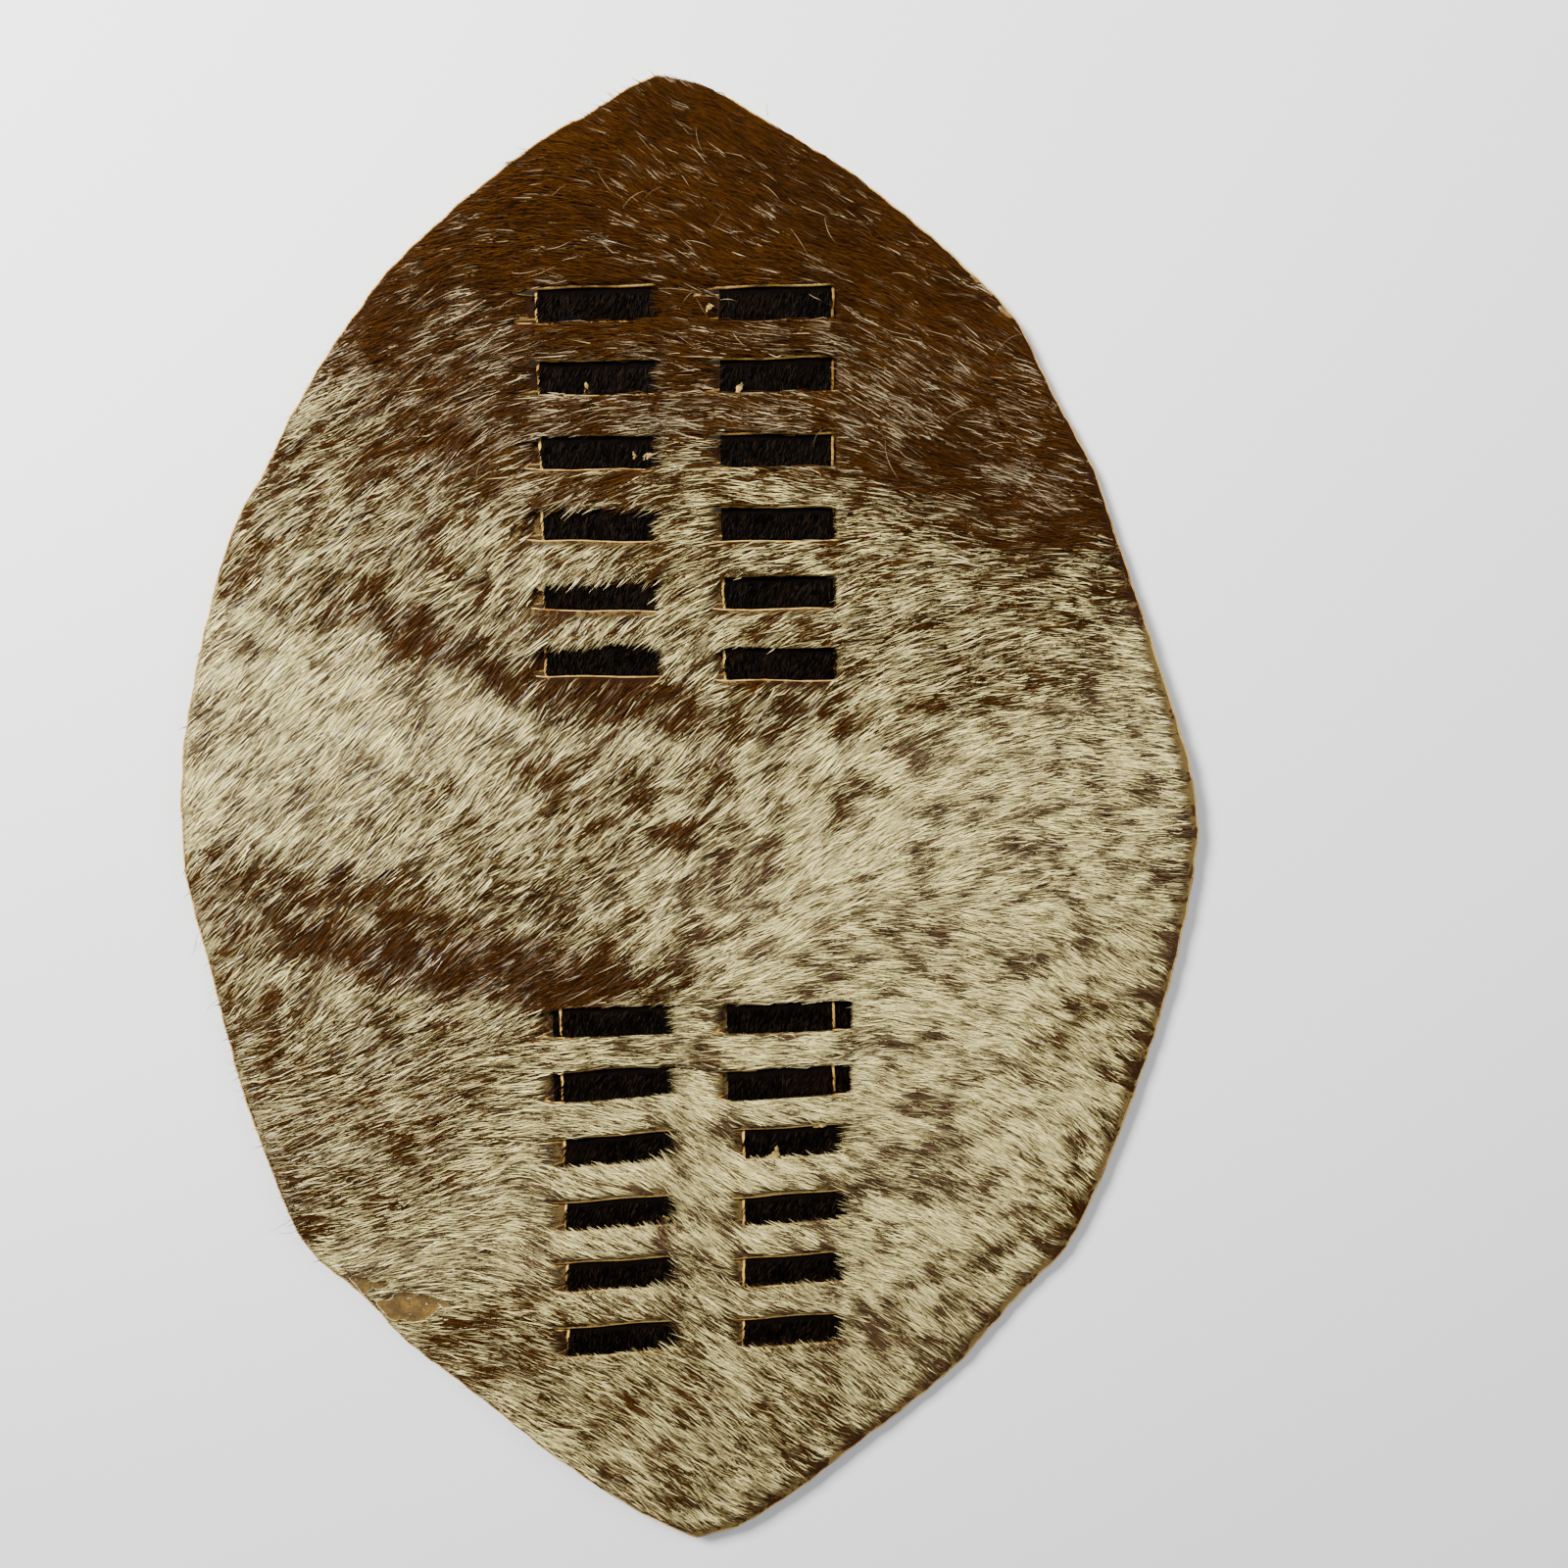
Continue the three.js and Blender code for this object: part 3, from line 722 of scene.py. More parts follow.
# %% Colours of single hairs
def toned(dark, light):
    """A colour between two, another one for each hair."""
    return blend(roan_group, tone, srgb(*dark), srgb(*light))


warm = ramp_up(roan_group, speckle(roan_group, roan_in["Place"], 22.0), 0.35, 0.65, 0.3, 0.85)
brown_hair = blend(roan_group, warm, toned((24, 12, 3), (60, 34, 8)), toned((33, 17, 3), (74, 42, 8)))
# Each cream hair gets its own tone, from (70, 54, 32) to (255, 240, 164): partly the hairs' own spread, and partly
# painted shade, as the darkest hairs stand in for the shadows between strands.
cream_hair = blend(roan_group, ramp_up(roan_group, tone, 0.0, 0.75), srgb(70, 54, 32), srgb(255, 240, 164))
# Painted shade: each cream hair is multiplied by (96, 76, 52) at its root, fading to none by 0.6 of its length, for the
# shade of the hairs lying over it.
cream_root_painted_shade = blend(roan_group, ramp_up(roan_group, roan_in["Along"], 0.0, 0.6), srgb(96, 76, 52), (1, 1, 1, 1))
cream_hair = blend(roan_group, 1.0, cream_hair, cream_root_painted_shade, "MULTIPLY")
# The cream hairs of a brown area are duller, and the brown hairs of a cream area are paler
in_brown = ramp_up(roan_group, roan_in["Brownness"], 0.02, 0.13)
in_cream = ramp_up(roan_group, roan_in["Brownness"], 0.03, -0.04)
cream_hair = blend(roan_group, in_brown, cream_hair, toned((70, 53, 34), (190, 170, 130)))
brown_hair = blend(roan_group, in_cream, brown_hair, toned((44, 31, 20), (96, 75, 54)))
plug_in_all(roan_group, roan_out, {
    "Color": blend(roan_group, brown_mask, cream_hair, brown_hair), "Brown": brown_mask})
print("roan group has", len(roan_group.nodes), "nodes")

# %% [markdown]
# ## Bare hide: cut edges and the flesh side
# A cut through dried hide shows its tan, glassy inside. The back was scraped and dried, and is
# pale, fibrous and blotched. Both show on the shield and on its strips, so the tan cut and the
# flesh side are two node groups that all three finishes share.

# %% Cut edge group
cut_group, cut_in, cut_out = new_group(
    "Cut hide edge", [("Place", VECTOR, None), ("Cut", VALUE, 0.0), ("Width", VALUE, 0.35)],
    [("Color", COLOUR), ("Mask", VALUE), ("Height", VALUE)])
cut_fibres = speckle(cut_group, stretched(cut_group, cut_in["Place"], (1, 1, 3)), 900.0, 4.0, 0.65)
cut_stain = speckle(cut_group, cut_in["Place"], 75.0, 3.0, 0.6)
cut_tan = blend(cut_group, cut_fibres, srgb(150, 106, 36), srgb(228, 188, 98))
cut_tan = stain(cut_group, cut_tan, cut_stain, 0.5, 0.68, (136, 88, 26))
ragged = calc(cut_group, "ADD", cut_in["Cut"], centred(cut_group, cut_fibres, 0.5))
mask_low, mask_high = (calc(cut_group, step, cut_in["Width"], 0.08) for step in ("SUBTRACT", "ADD"))
plug_in_all(cut_group, cut_out, {
    "Color": cut_tan, "Mask": ramp_up(cut_group, ragged, mask_low, mask_high), "Height": cut_fibres})

# %% Flesh side group
flesh_group, flesh_in, flesh_out = new_group(
    "Flesh side", [("Place", VECTOR, None), ("Tint", COLOUR, (1, 1, 1, 1))],
    [("Color", COLOUR), ("Height", VALUE), ("Roughness", VALUE)])
fibres = speckle(flesh_group, stretched(flesh_group, flesh_in["Place"], (3.2, 0.9, 1), 0.5), 420.0, 5.0, 0.7, 0.6)
scrapes = speckle(flesh_group, stretched(flesh_group, flesh_in["Place"], (0.25, 5.0, 1), 0.12), 60.0, 4.0, 0.65, 0.3)
creases = speckle(flesh_group, stretched(flesh_group, flesh_in["Place"], (0.8, 2.4, 1), 0.2), 38.0, 4.0, 0.6, 1.2)
blotches = speckle(flesh_group, flesh_in["Place"], 17.0, 5.0, 0.62, 0.5)
wobble = place(flesh_group, "ShaderNodeTexNoise", {"Vector": flesh_in["Place"], "Scale": 26.0, "Detail": 3.0})
wobble = place(flesh_group, "ShaderNodeVectorMath", {0: wobble.outputs["Color"], "Scale": 0.05}, operation="SCALE")
vein_place = place(flesh_group, "ShaderNodeVectorMath", {0: flesh_in["Place"], 1: wobble.outputs[0]}, operation="ADD")
to_vein = cell_edges(flesh_group, vein_place.outputs[0], 15.0)
flesh_colour = blend(flesh_group, fibres, srgb(146, 116, 70), srgb(206, 180, 130))
flesh_colour = stain(flesh_group, flesh_colour, scrapes, 0.5, 0.66, (218, 198, 156), 0.6)
flesh_colour = stain(flesh_group, flesh_colour, blotches, 0.44, 0.66, (136, 100, 54))
flesh_colour = stain(flesh_group, flesh_colour, creases, 0.56, 0.7, (98, 66, 32), 0.6)
flesh_colour = stain(flesh_group, flesh_colour, to_vein, 0.028, 0.0, (116, 78, 40), 0.4)
flesh_height = calc(flesh_group, "ADD", calc(flesh_group, "MULTIPLY", fibres, 0.5), creases)
flesh_height = calc(flesh_group, "ADD", flesh_height, calc(flesh_group, "MULTIPLY", scrapes, 0.8))
plug_in_all(flesh_group, flesh_out, {
    "Color": blend(flesh_group, 1.0, flesh_colour, flesh_in["Tint"], "MULTIPLY"), "Height": flesh_height,
    "Roughness": ramp_up(flesh_group, blotches, 0.3, 0.7, 0.78, 0.5)})
print("cut edge and flesh side groups built")

# %% Finish of the hide under its coat
def hide_finish(name, coat_colour, coat_roughness, cut_width, gloss, flesh_tint):
    """Hair side, back and cut edges of one sheet. coat_colour builds the hair side's colour."""
    material, tree, shader = new_material(name)
    at = position(tree)
    fuzz = speckle(tree, at, 700.0, 4.0, 0.7)
    flesh = use_group(tree, flesh_group, {"Place": at, "Tint": flesh_tint})
    cut = use_group(tree, cut_group, {"Place": at, "Cut": named_value(tree, "cut"), "Width": cut_width})
    is_flesh = ramp_up(tree, named_value(tree, "flesh"), 0.4, 0.6)
    is_bare = calc(tree, "MAXIMUM", is_flesh, cut["Mask"])
    colour = blend(tree, is_flesh, coat_colour(tree, at), flesh["Color"])
    plug_in_all(tree, shader.inputs, {
        "Base Color": blend(tree, cut["Mask"], colour, cut["Color"]),
        "Roughness": mix_values(tree, is_flesh, coat_roughness, flesh["Roughness"]),
        "Specular IOR Level": mix_values(tree, is_bare, gloss, 0.35)})
    height = mix_values(tree, is_flesh, fuzz, flesh["Height"])
    relief = calc(tree, "ADD", height, calc(tree, "MULTIPLY", cut["Height"], cut["Mask"]))
    add_bump(tree, shader, relief, 0.6, 0.0006)
    return material


def roan_undercoat(tree, at):
    roan = use_group(tree, roan_group, {
        "Place": at, "Strand": speckle(tree, at, 2400.0, 1.0), "Brownness": named_value(tree, "brown"),
        "Mixing": named_value(tree, "mixing"), "Along": 0.2})
    # Painted shade: the skin's roan colour is multiplied down to about 0.42 where the hair over it would shade it, and
    # only to about 0.9 at the cut lips. Along at 0.2 also gives the skin the painted root shade of the cream hairs.
    near_cut = ramp_up(tree, named_value(tree, "cut"), 0.0, 0.15)
    painted_shade = blend(tree, near_cut, (0.42, 0.36, 0.30, 1), (0.9, 0.84, 0.76, 1))
    return blend(tree, 1.0, roan["Color"], painted_shade, "MULTIPLY")


roan_hide = hide_finish("roan_hide_skin", roan_undercoat, 0.85, 0.3, 0.08, (1, 1, 1, 1))
hide = build_mesh("dressed_hide", hide_points, hide_faces, roan_hide, cut=hide_cut, flesh=hide_flesh,
                  **coat_map(hide_points[:, 0], hide_points[:, 1]))
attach(hide, "root")
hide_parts("shield_hide")

# %% [markdown]
# ## The black strips
# Each strip is cut from black hide and runs in front of one band and behind the next. It is drawn
# the same way as the hide, from a middle surface, with its level taken from the band it passes.
# A curve with a flat profile would also follow the lacing, but its ends and its lean in the slits
# are easier to set line by line.

# %% Levels of a strip along its run
def strip_level(here, layer):
    beside = LAYER_STEP if here["doubled"] else 0
    if here["covered"]:
        return -BAND_DROP + WEAVE_STEP + (beside if layer == "front" else 0)
    return here["rise"] - WEAVE_STEP - (beside if layer == "back" else 0)


def strip_stations(side, which):
    upper, lower = LINES[side]["upper"], LINES[side]["lower"]
    if which == "upper":
        first = cut_line(upper[0]["y"] - EASE + TUCK, 0, 0)
        spliced = [here for here in lower if here["doubled"]]
        tail = dict(spliced[-1], y=spliced[-1]["y"] + 1)
        return [first] + upper + spliced[:-1] + [tail]
    start = dict(upper[-1], y=upper[-1]["y"] - 1)
    return [start] + lower + [cut_line(lower[-1]["y"] + EASE - TUCK, 0, 0)]


STRIP_LIP, STRIP_SPACING = 1.5, 1.6  # width of the bare lip, and space between drawn lines


def bare_edges(side, which, y):
    """How bare and tan, and not hairy, the left and the right edge of a strip are."""
    if side == "left":
        return np.where((y < 0) & (which == "upper"), 0.1, 1.0), np.full(len(y), 0.12)
    if which == "upper":
        return np.where((y < 136) & (y > 0), 1.0, 0.12), np.where((y > 150) | (y < 0), 1.0, 0.3)
    return np.where(y < -115, 1.0, 0.15), np.full(len(y), 0.1)

# %% Draw the strips
strips = {}
for (side, which), (_, _, layer) in STRIP_LEAN.items():
    stations = strip_stations(side, which)
    points, in_window = [], []
    for n, here in enumerate(stations):
        follows = stations[n + 1] if n + 1 < len(stations) else None
        steps = 1 if follows is None else max(1, round(abs(here["y"] - follows["y"]) / STRIP_SPACING))
        for k in range(steps):
            t = k / steps
            level, y, slope = strip_level(here, layer), here["y"], here["slope"]
            if t:
                level += (strip_level(follows, layer) - level) * s_curve(t)
                y += (follows["y"] - y) * t
                slope += (follows["slope"] - slope) * t
            left, right = strip_edges(side, which, y)
            x = np.concatenate([[left, left + STRIP_LIP], np.linspace(left, right, 9)[1:-1],
                                [right - STRIP_LIP, right]])
            along = y + slope * (x - COLUMN_MIDDLE[side])
            x = x + 0.22 * np.sin(y / 4.3 + len(strips)) + 0.12 * np.sin(y / 1.7)
            bow = 0.12 * np.cos((x - (left + right) / 2) / (right - left) * math.pi)
            points.append(np.stack([x, along, resting_level(x, along) + level + bow], axis=1))
            in_window.append(here["covered"] or (follows is not None and follows["covered"]))
    points = np.array(points)
    length, across = points.shape[:2]
    faces = grid_faces(length, across)
    shown = np.repeat(np.array(in_window[:-1]), across - 1)
    inside = np.tile((np.arange(across - 1) > 0) & (np.arange(across - 1) < across - 2), length - 1)
    bare = np.zeros((length, across))
    bare[:, 0], bare[:, -1] = bare_edges(side, which, points[:, across // 2, 1])
    strips[side, which] = dict(points=points.reshape(-1, 3), faces=faces, bare=bare.ravel(),
                               hairy=faces[np.tile(shown & inside, 2)])
print("strip points:", {key: len(strip["points"]) for key, strip in strips.items()})

# %% Finish and pieces of the strips
def black_undercoat(tree, at):
    return blend(tree, speckle(tree, at, 300.0, 3.0), srgb(3, 2, 2), srgb(14, 10, 8))


black_hide = hide_finish("black_hide_skin", black_undercoat, 0.9, 0.3, 0.0, (0.72, 0.66, 0.58, 1))
for number, ((side, which), strip) in enumerate(strips.items()):
    points, faces, cut, flesh = thicken(strip["points"], strip["faces"], STRIP_THICKNESS, 0.25, 0.1, 11 + number)
    wall_of = np.flatnonzero(cut[:len(strip["points"])] > 0)
    cut *= np.concatenate([strip["bare"], np.ones(len(strip["points"])), strip["bare"][wall_of]])
    piece = build_mesh(f"dressed_{which}_{side}_strip", points, faces, black_hide, cut=cut, flesh=flesh)
    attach(piece, "root")
    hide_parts(f"{which}_{side}_strip")

# %% [markdown]
# ## Where hair can lie
# Hair grows out of every bit of the hair side except the cut lips and the bald patches. Most of it
# bends over an edge by a millimetre or two, and some by a few more. So a map of open ground is
# laid over the shield on a half-millimetre grid: inside the outline, outside the windows and
# outside the bald patches.

# %% Windows and bald patches
windows = []
for side in ("left", "right"):
    for group, first_cut in enumerate((UPPER_FIRST_CUT, LOWER_FIRST_CUT)):
        shifts, slopes = HAND_CUT[side][group]
        for row in range(ROWS):
            top = window_top(first_cut, shifts, row)
            here = cut_line(top - WINDOW_HEIGHT / 2, 0, 0, doubled=group == 1 and row < SPLICE_ROWS)
            left, right = edges_at(side, here, "upper" if group == 0 else "lower")
            windows.append(dict(left=left, right=right, top=top, bottom=top - WINDOW_HEIGHT,
                                slope=slopes[row], middle=COLUMN_MIDDLE[side]))


def level_with(window, x, y):
    """How far up a point is, counted along the cuts of a window that slope a little."""
    return y - window["slope"] * (x - window["middle"])


BALD_PATCHES = [
    [(-163.6, -195), (-156.4, -194.7), (-152.4, -196.6), (-150.1, -196.7), (-146, -196.3), (-144.8, -198),
     (-146.3, -201.1), (-148.6, -201.8), (-152.2, -201), (-155, -203.3), (-157.3, -203.3)],
    [(-151.8, -206.2), (-145, -206.4), (-142.6, -203.5), (-139.1, -201.7), (-135, -201.3), (-132.3, -202.8),
     (-132.4, -204.2), (-125.1, -204.6), (-121.6, -206.3), (-117.2, -209.3), (-118.6, -211.2), (-122.7, -211.3),
     (-124.2, -214), (-127.3, -215.8), (-130.4, -218.7), (-135.4, -218.6), (-138, -217.1), (-144.8, -216.3),
     (-147.6, -213.1), (-150.3, -209.2)],
    [(123.5, 245.9), (130.9, 241.1), (134.6, 238.2), (136.2, 237), (132.5, 242.6), (127.6, 247.5)],
    [(135.4, 233.8), (139.1, 233), (142, 228.5), (137.5, 229.4)],
]

# %% Torn outlines of the bald patches
def roughen(polygon, amount, seed, steps=5):
    """A listed polygon with a torn edge."""
    rng = np.random.default_rng(seed)
    corners = np.array(polygon, float)
    t = np.arange(steps)[:, None] / steps
    edge = np.concatenate([a + (b - a) * t for a, b in zip(corners, np.roll(corners, -1, axis=0))])
    edge = edge + rng.normal(size=edge.shape) * amount
    inwards = np.minimum(1, (reach_at(edge[:, 0], edge[:, 1]) - 0.6) / np.hypot(edge[:, 0], edge[:, 1]))
    return edge * inwards[:, None]


def inside_polygon(x, y, polygon):
    inside = np.zeros(np.shape(x), bool)
    for (ax, ay), (bx, by) in zip(polygon, np.roll(polygon, -1, axis=0)):
        if ay != by:
            crosses = (ay > y) != (by > y)
            inside ^= crosses & (x < ax + (bx - ax) * (y - ay) / (by - ay))
    return inside


bald_edges = [roughen(polygon, 0.3, 30 + n) for n, polygon in enumerate(BALD_PATCHES)]

# %% Open ground on a grid
CELL = 0.5
ROOT_MARGIN = 0.9  # no hair grows this close to the outline
ground_x = np.arange(-260, 260, CELL)
ground_y = np.arange(-360, 360, CELL)
gx, gy = np.meshgrid(ground_x, ground_y)
open_ground = np.hypot(gx, gy) < reach_at(gx, gy) - ROOT_MARGIN
for w in windows:
    along = level_with(w, gx, gy)
    open_ground &= ~((gx > w["left"]) & (gx < w["right"]) & (along > w["bottom"]) & (along < w["top"]))
for edge in bald_edges:
    low, high = edge.min(axis=0) - 1, edge.max(axis=0) + 1
    rows = np.flatnonzero((ground_y > low[1]) & (ground_y < high[1]))
    cols = np.flatnonzero((ground_x > low[0]) & (ground_x < high[0]))
    part = np.ix_(rows, cols)
    open_ground[part] &= ~inside_polygon(gx[part], gy[part], edge)


def on_grid(grid, x, y):
    col = np.clip(((x - ground_x[0]) / CELL).astype(int), 0, grid.shape[1] - 1)
    row = np.clip(((y - ground_y[0]) / CELL).astype(int), 0, grid.shape[0] - 1)
    return grid[row, col]


print("open ground:", round(open_ground.mean() * gx.size * CELL ** 2 / 100), "cm2")

# %% How high the woven middle stands over the plain level
RELIEF_CELL = 1.0
ABOVE_ALL = 60  # the height that the rays start from
relief_x = np.arange(-72, 79, RELIEF_CELL)
relief_y = np.arange(-262, 262, RELIEF_CELL)
for strip in strips.values():
    strip["top"] = strip["points"] + [0, 0, STRIP_THICKNESS / 2]
top_points, top_faces = joined([(hide_points[:len(sheet_points)], sheet_faces[:middle_face_count])] + [
    (strip["top"], strip["faces"]) for strip in strips.values()])
tree_of_tops = BVHTree.FromPolygons(top_points.tolist(), top_faces.tolist())
relief = np.full((len(relief_y), len(relief_x)), HIDE_THICKNESS / 2)
down = Vector((0, 0, -1))
for i, y in enumerate(relief_y):
    for j, x in enumerate(relief_x):
        hit = tree_of_tops.ray_cast(Vector((x, y, ABOVE_ALL)), down)[0]
        if hit is not None:
            relief[i, j] = hit.z - plain_level(x, y)


def relief_at(x, y):
    col = np.round((x - relief_x[0]) / RELIEF_CELL).astype(int)
    row = np.round((y - relief_y[0]) / RELIEF_CELL).astype(int)
    known = (col >= 0) & (col < relief.shape[1]) & (row >= 0) & (row < relief.shape[0])
    found = relief[np.clip(row, 0, relief.shape[0] - 1), np.clip(col, 0, relief.shape[1] - 1)]
    return np.where(known, found, HIDE_THICKNESS / 2 + dents(x, y))


print("relief from", round(relief.min(), 2), "to", round(relief.max(), 2), "mm")

# %% [markdown]
# ## Which way the hair lies
# Hair on a hide streams in one direction and turns slowly, with a whorl near the top. A short list
# of guides, each a place and the direction from root to tip, is enough: every hair takes a mean of
# the guides around it, weighted by how near they are.

# %% Hair guides
HAIR_GUIDES = [  # across, along, direction in degrees from +X
    (-15, 301, 152), (46, 280, 152), (87, 260, 152), (128, 235, 155), (0, 318, 150), (20, 262, 150), (60, 240, 165),
    (-62, 290, 184), (-86, 283, 190), (-110, 262, 197), (-60, 262, 198), (-30, 262, 156), (-47, 252, 174),
    (-122, 219, 205), (-150, 190, 207), (-100, 180, 214), (-85, 225, 208), (-170, 120, 220), (-190, 60, 222),
    (-130, 100, 222), (-133, 12, 220), (-190, 0, 222), (-100, 60, 222), (-90, 130, 218), (-36, 236, 182),
    (43, 225, 180), (3, 225, 171), (-36, 206, 188), (-36, 176, 196), (43, 190, 168), (3, 190, 180), (-36, 150, 204),
    (-36, 130, 228), (-36, 100, 230), (-60, 80, 226), (43, 160, 175), (43, 125, 192), (43, 95, 208), (3, 150, 194),
    (3, 110, 214), (98, 200, 150), (128, 150, 165), (180, 96, 172), (128, 50, 198), (156, 50, 188), (190, 20, 172),
    (128, -60, 166), (190, -80, 150), (100, -120, 166), (150, -150, 150), (186, -160, 134), (90, 110, 196),
    (112, 96, 194), (146, 92, 192), (90, 60, 210), (-2, 10, 212), (-2, 50, 222), (-40, 30, 218), (50, 12, 216),
    (72, 8, 210), (63, 50, 217), (128, 7, 192), (95, 10, 205), (-114, -40, 220), (-160, -40, 222), (-74, -25, 214),
    (-78, -62, 206), (-20, -40, 214), (40, -40, 206), (60, -70, 184), (100, -40, 170), (-140, -128, 198),
    (-104, -124, 198), (-185, -112, 197), (-120, -90, 206), (-172, -168, 186), (-142, -168, 196), (-106, -168, 190),
    (-80, -110, 178), (-36, -90, 180), (43, -90, 180), (3, -90, 176), (-36, -120, 165), (-36, -150, 152),
    (-36, -200, 152), (3, -130, 136), (3, -160, 132), (3, -200, 140), (43, -140, 158), (43, -170, 153),
    (43, -205, 150), (-9, -270, 142), (60, -271, 142), (0, -310, 140), (-60, -250, 150), (112, -220, 140),
    (148, -205, 142), (80, -190, 158), (150, -190, 155), (-104, -218, 172), (-70, -200, 152),
]


def lie_of_hair(x, y, spread=26.0):
    pull_x, pull_y = np.zeros(np.shape(x)), np.zeros(np.shape(x))
    for guide_x, guide_y, degrees in HAIR_GUIDES:
        distance = ((x - guide_x) ** 2 + (y - guide_y) ** 2) / spread ** 2
        weight = np.exp(-distance) + 0.002 / (1 + distance)
        pull_x += weight * math.cos(math.radians(degrees))
        pull_y += weight * math.sin(math.radians(degrees))
    return np.arctan2(pull_y, pull_x)


def waves(x, y, length, seed):
    """Smooth unevenness between about -1 and 1."""
    rng = np.random.default_rng(seed)
    total = np.zeros(np.shape(x))
    for _ in range(6):
        heading, phase = rng.uniform(0, 2 * math.pi, 2)
        size = length * rng.uniform(0.7, 1.5)
        total += np.sin((x * math.cos(heading) + y * math.sin(heading)) * 2 * math.pi / size + phase)
    return total / 3


# %% [markdown]
# ## The coat
# A hair system would be the usual way, but exported models drop it. Here every hair is a real
# blade of two triangles, shaped like a very thin kite: it starts at a point on the hide, is widest
# under half way, and ends in a point. Hairs are drawn together into tufts, as on a real hide,
# because grease and handling gather them. Five layers share the work, each over the whole shield.

# %% Length of hair and how far it hangs over an edge
# The places below are in millimetres from the middle, and what happens there is judged
def hair_length(x, y):
    """Shorter towards the top tip and the right edge, longer on the left of the upper slits."""
    length = 14.0 + 1.5 * waves(x, y, 90, 5)
    length -= 2.5 * np.clip((y - 215) / 60, 0, 1)
    length += 3.0 * np.exp(-((x + 60) ** 2 / 60 ** 2 + (y - 105) ** 2 / 45 ** 2))
    return length - 1.5 * np.clip((x - 120) / 60, 0, 1)


def overhang(x, y, rng):
    """How far each hair hangs over an edge: more at the upper left slits and on the bands."""
    from_edge = reach_at(x, y) - np.hypot(x, y)
    typical = np.where(from_edge < 25, 0.3, 0.6)
    typical += 3.4 * np.exp(-((x + 42) ** 2 / 34 ** 2 + (y - 140) ** 2 / 46 ** 2) ** 3)
    typical += 1.6 * np.exp(-((x + 54) ** 2 / 16 ** 2 + (y - 206) ** 2 / 16 ** 2) ** 2)
    typical += 1.5 * ((np.abs(x) < 12) & (np.abs(y) < 260)) + 1.3 * ((x > 66) & (x < 82) & (y < -120))
    typical += 1.3 * ((np.abs(x) < 85) & (y < -120) & (y > -240))
    typical += 1.3 * ((x > 60) & (from_edge < 25) & (y < 120))
    spread = np.minimum(rng.exponential(1.0, np.shape(x)), 2.6)
    return typical * spread + 5.0 * (rng.random(np.shape(x)) < 0.008)


# %% Roots, spread evenly over the faces that carry hair
BLADE_BEND = 0.42  # the share of its length at which a blade is widest and bends


def scatter_roots(points, faces, count, rng):
    """Random places on triangles, taken by area, so that big triangles get more of them."""
    a, b, c = (points[faces[:, k]] for k in range(3))
    area = np.linalg.norm(np.cross(b - a, c - a), axis=1) / 2
    ladder = np.cumsum(area)
    spots = (np.arange(count) + rng.random(count)) / count * ladder[-1]
    chosen = np.minimum(np.searchsorted(ladder, spots), len(faces) - 1)
    u, v = rng.random(count), rng.random(count)
    flip = u + v > 1
    u, v = np.where(flip, 1 - u, u), np.where(flip, 1 - v, v)
    return a[chosen] + (b[chosen] - a[chosen]) * u[:, None] + (c[chosen] - a[chosen]) * v[:, None]


def blade_corners(root, middle, tip, side_x, side_y, roll, half):
    """Root, right, left and tip of flat blades, each turned a little about its own length."""
    across = np.stack([side_x * np.cos(roll), side_y * np.cos(roll), np.sin(roll)], axis=1) * half[:, None]
    return np.stack([root, middle - across, middle + across, tip], axis=1)


def tufts(x, y, size, seed):
    """The middle of the tuft that each root belongs to, and three random numbers of that tuft."""
    def random_of(cell_x, cell_y, salt):
        mixed = np.sin(cell_x * 127.1 + cell_y * 311.7 + salt * 74.7 + seed) * 43758.5453
        return mixed - np.floor(mixed)
    cell_x, cell_y = np.floor(x / size), np.floor(y / size)
    best = np.full(x.shape, np.inf)
    chosen = np.zeros((5, len(x)))
    for dx in (-1, 0, 1):
        for dy in (-1, 0, 1):
            cx, cy = cell_x + dx, cell_y + dy
            tx, ty = (cx + random_of(cx, cy, 1)) * size, (cy + random_of(cx, cy, 2)) * size
            distance = (tx - x) ** 2 + (ty - y) ** 2
            nearer = distance < best
            best = np.where(nearer, distance, best)
            found = np.stack([tx, ty, random_of(cx, cy, 3), random_of(cx, cy, 4), random_of(cx, cy, 5)])
            chosen = np.where(nearer, found, chosen)
    return chosen


# %% Faces that carry hair
face_on_lip = hide_cut[sheet_faces].max(axis=1) > 0
face_x, face_y = sheet_points[sheet_faces].mean(axis=1)[:, :2].T
beside_window = (np.abs(face_y) < 290) & (np.hypot(face_x, face_y) < reach_at(face_x, face_y) - 12)
for side, middle in COLUMN_MIDDLE.items():
    half = (SLIT_LENGTH - SLIT_ROOM[side]) / 2
    beside_window &= (face_x > middle + half + 0.3) | (face_x < middle - half - (4.5 if side == "left" else 0.3))
hairy_faces = sheet_faces[~face_is_covered & (~face_on_lip | beside_window)]

# %% How far a hair can run
def length_to_edge(x, y, heading, wanted, steps=10):
    """How far a hair can run before it leaves open ground."""
    clear = np.array(wanted)
    blocked = np.zeros(len(x), bool)
    for step in range(1, steps + 1):
        reach = wanted * step / steps
        free = on_grid(open_ground, x + np.cos(heading) * reach, y + np.sin(heading) * reach)
        stops = ~free & ~blocked
        clear = np.where(stops, wanted * (step - 1) / steps, clear)
        blocked |= stops
    return clear, blocked

# %% One layer of the coat
TUFT_SIZE, TUFT_TURN = 2.9, 0.22  # spacing of the tufts, and how far they turn, in radians
SHORTEST = 1.8
ROOT_DEPTH, BLACK_ROOT_DEPTH = 0.1, 0.05  # how deep a blade starts under the skin
ROLL_SPREAD, BLACK_ROLL_SPREAD = 24, 22  # how far blades turn about their own length, in degrees


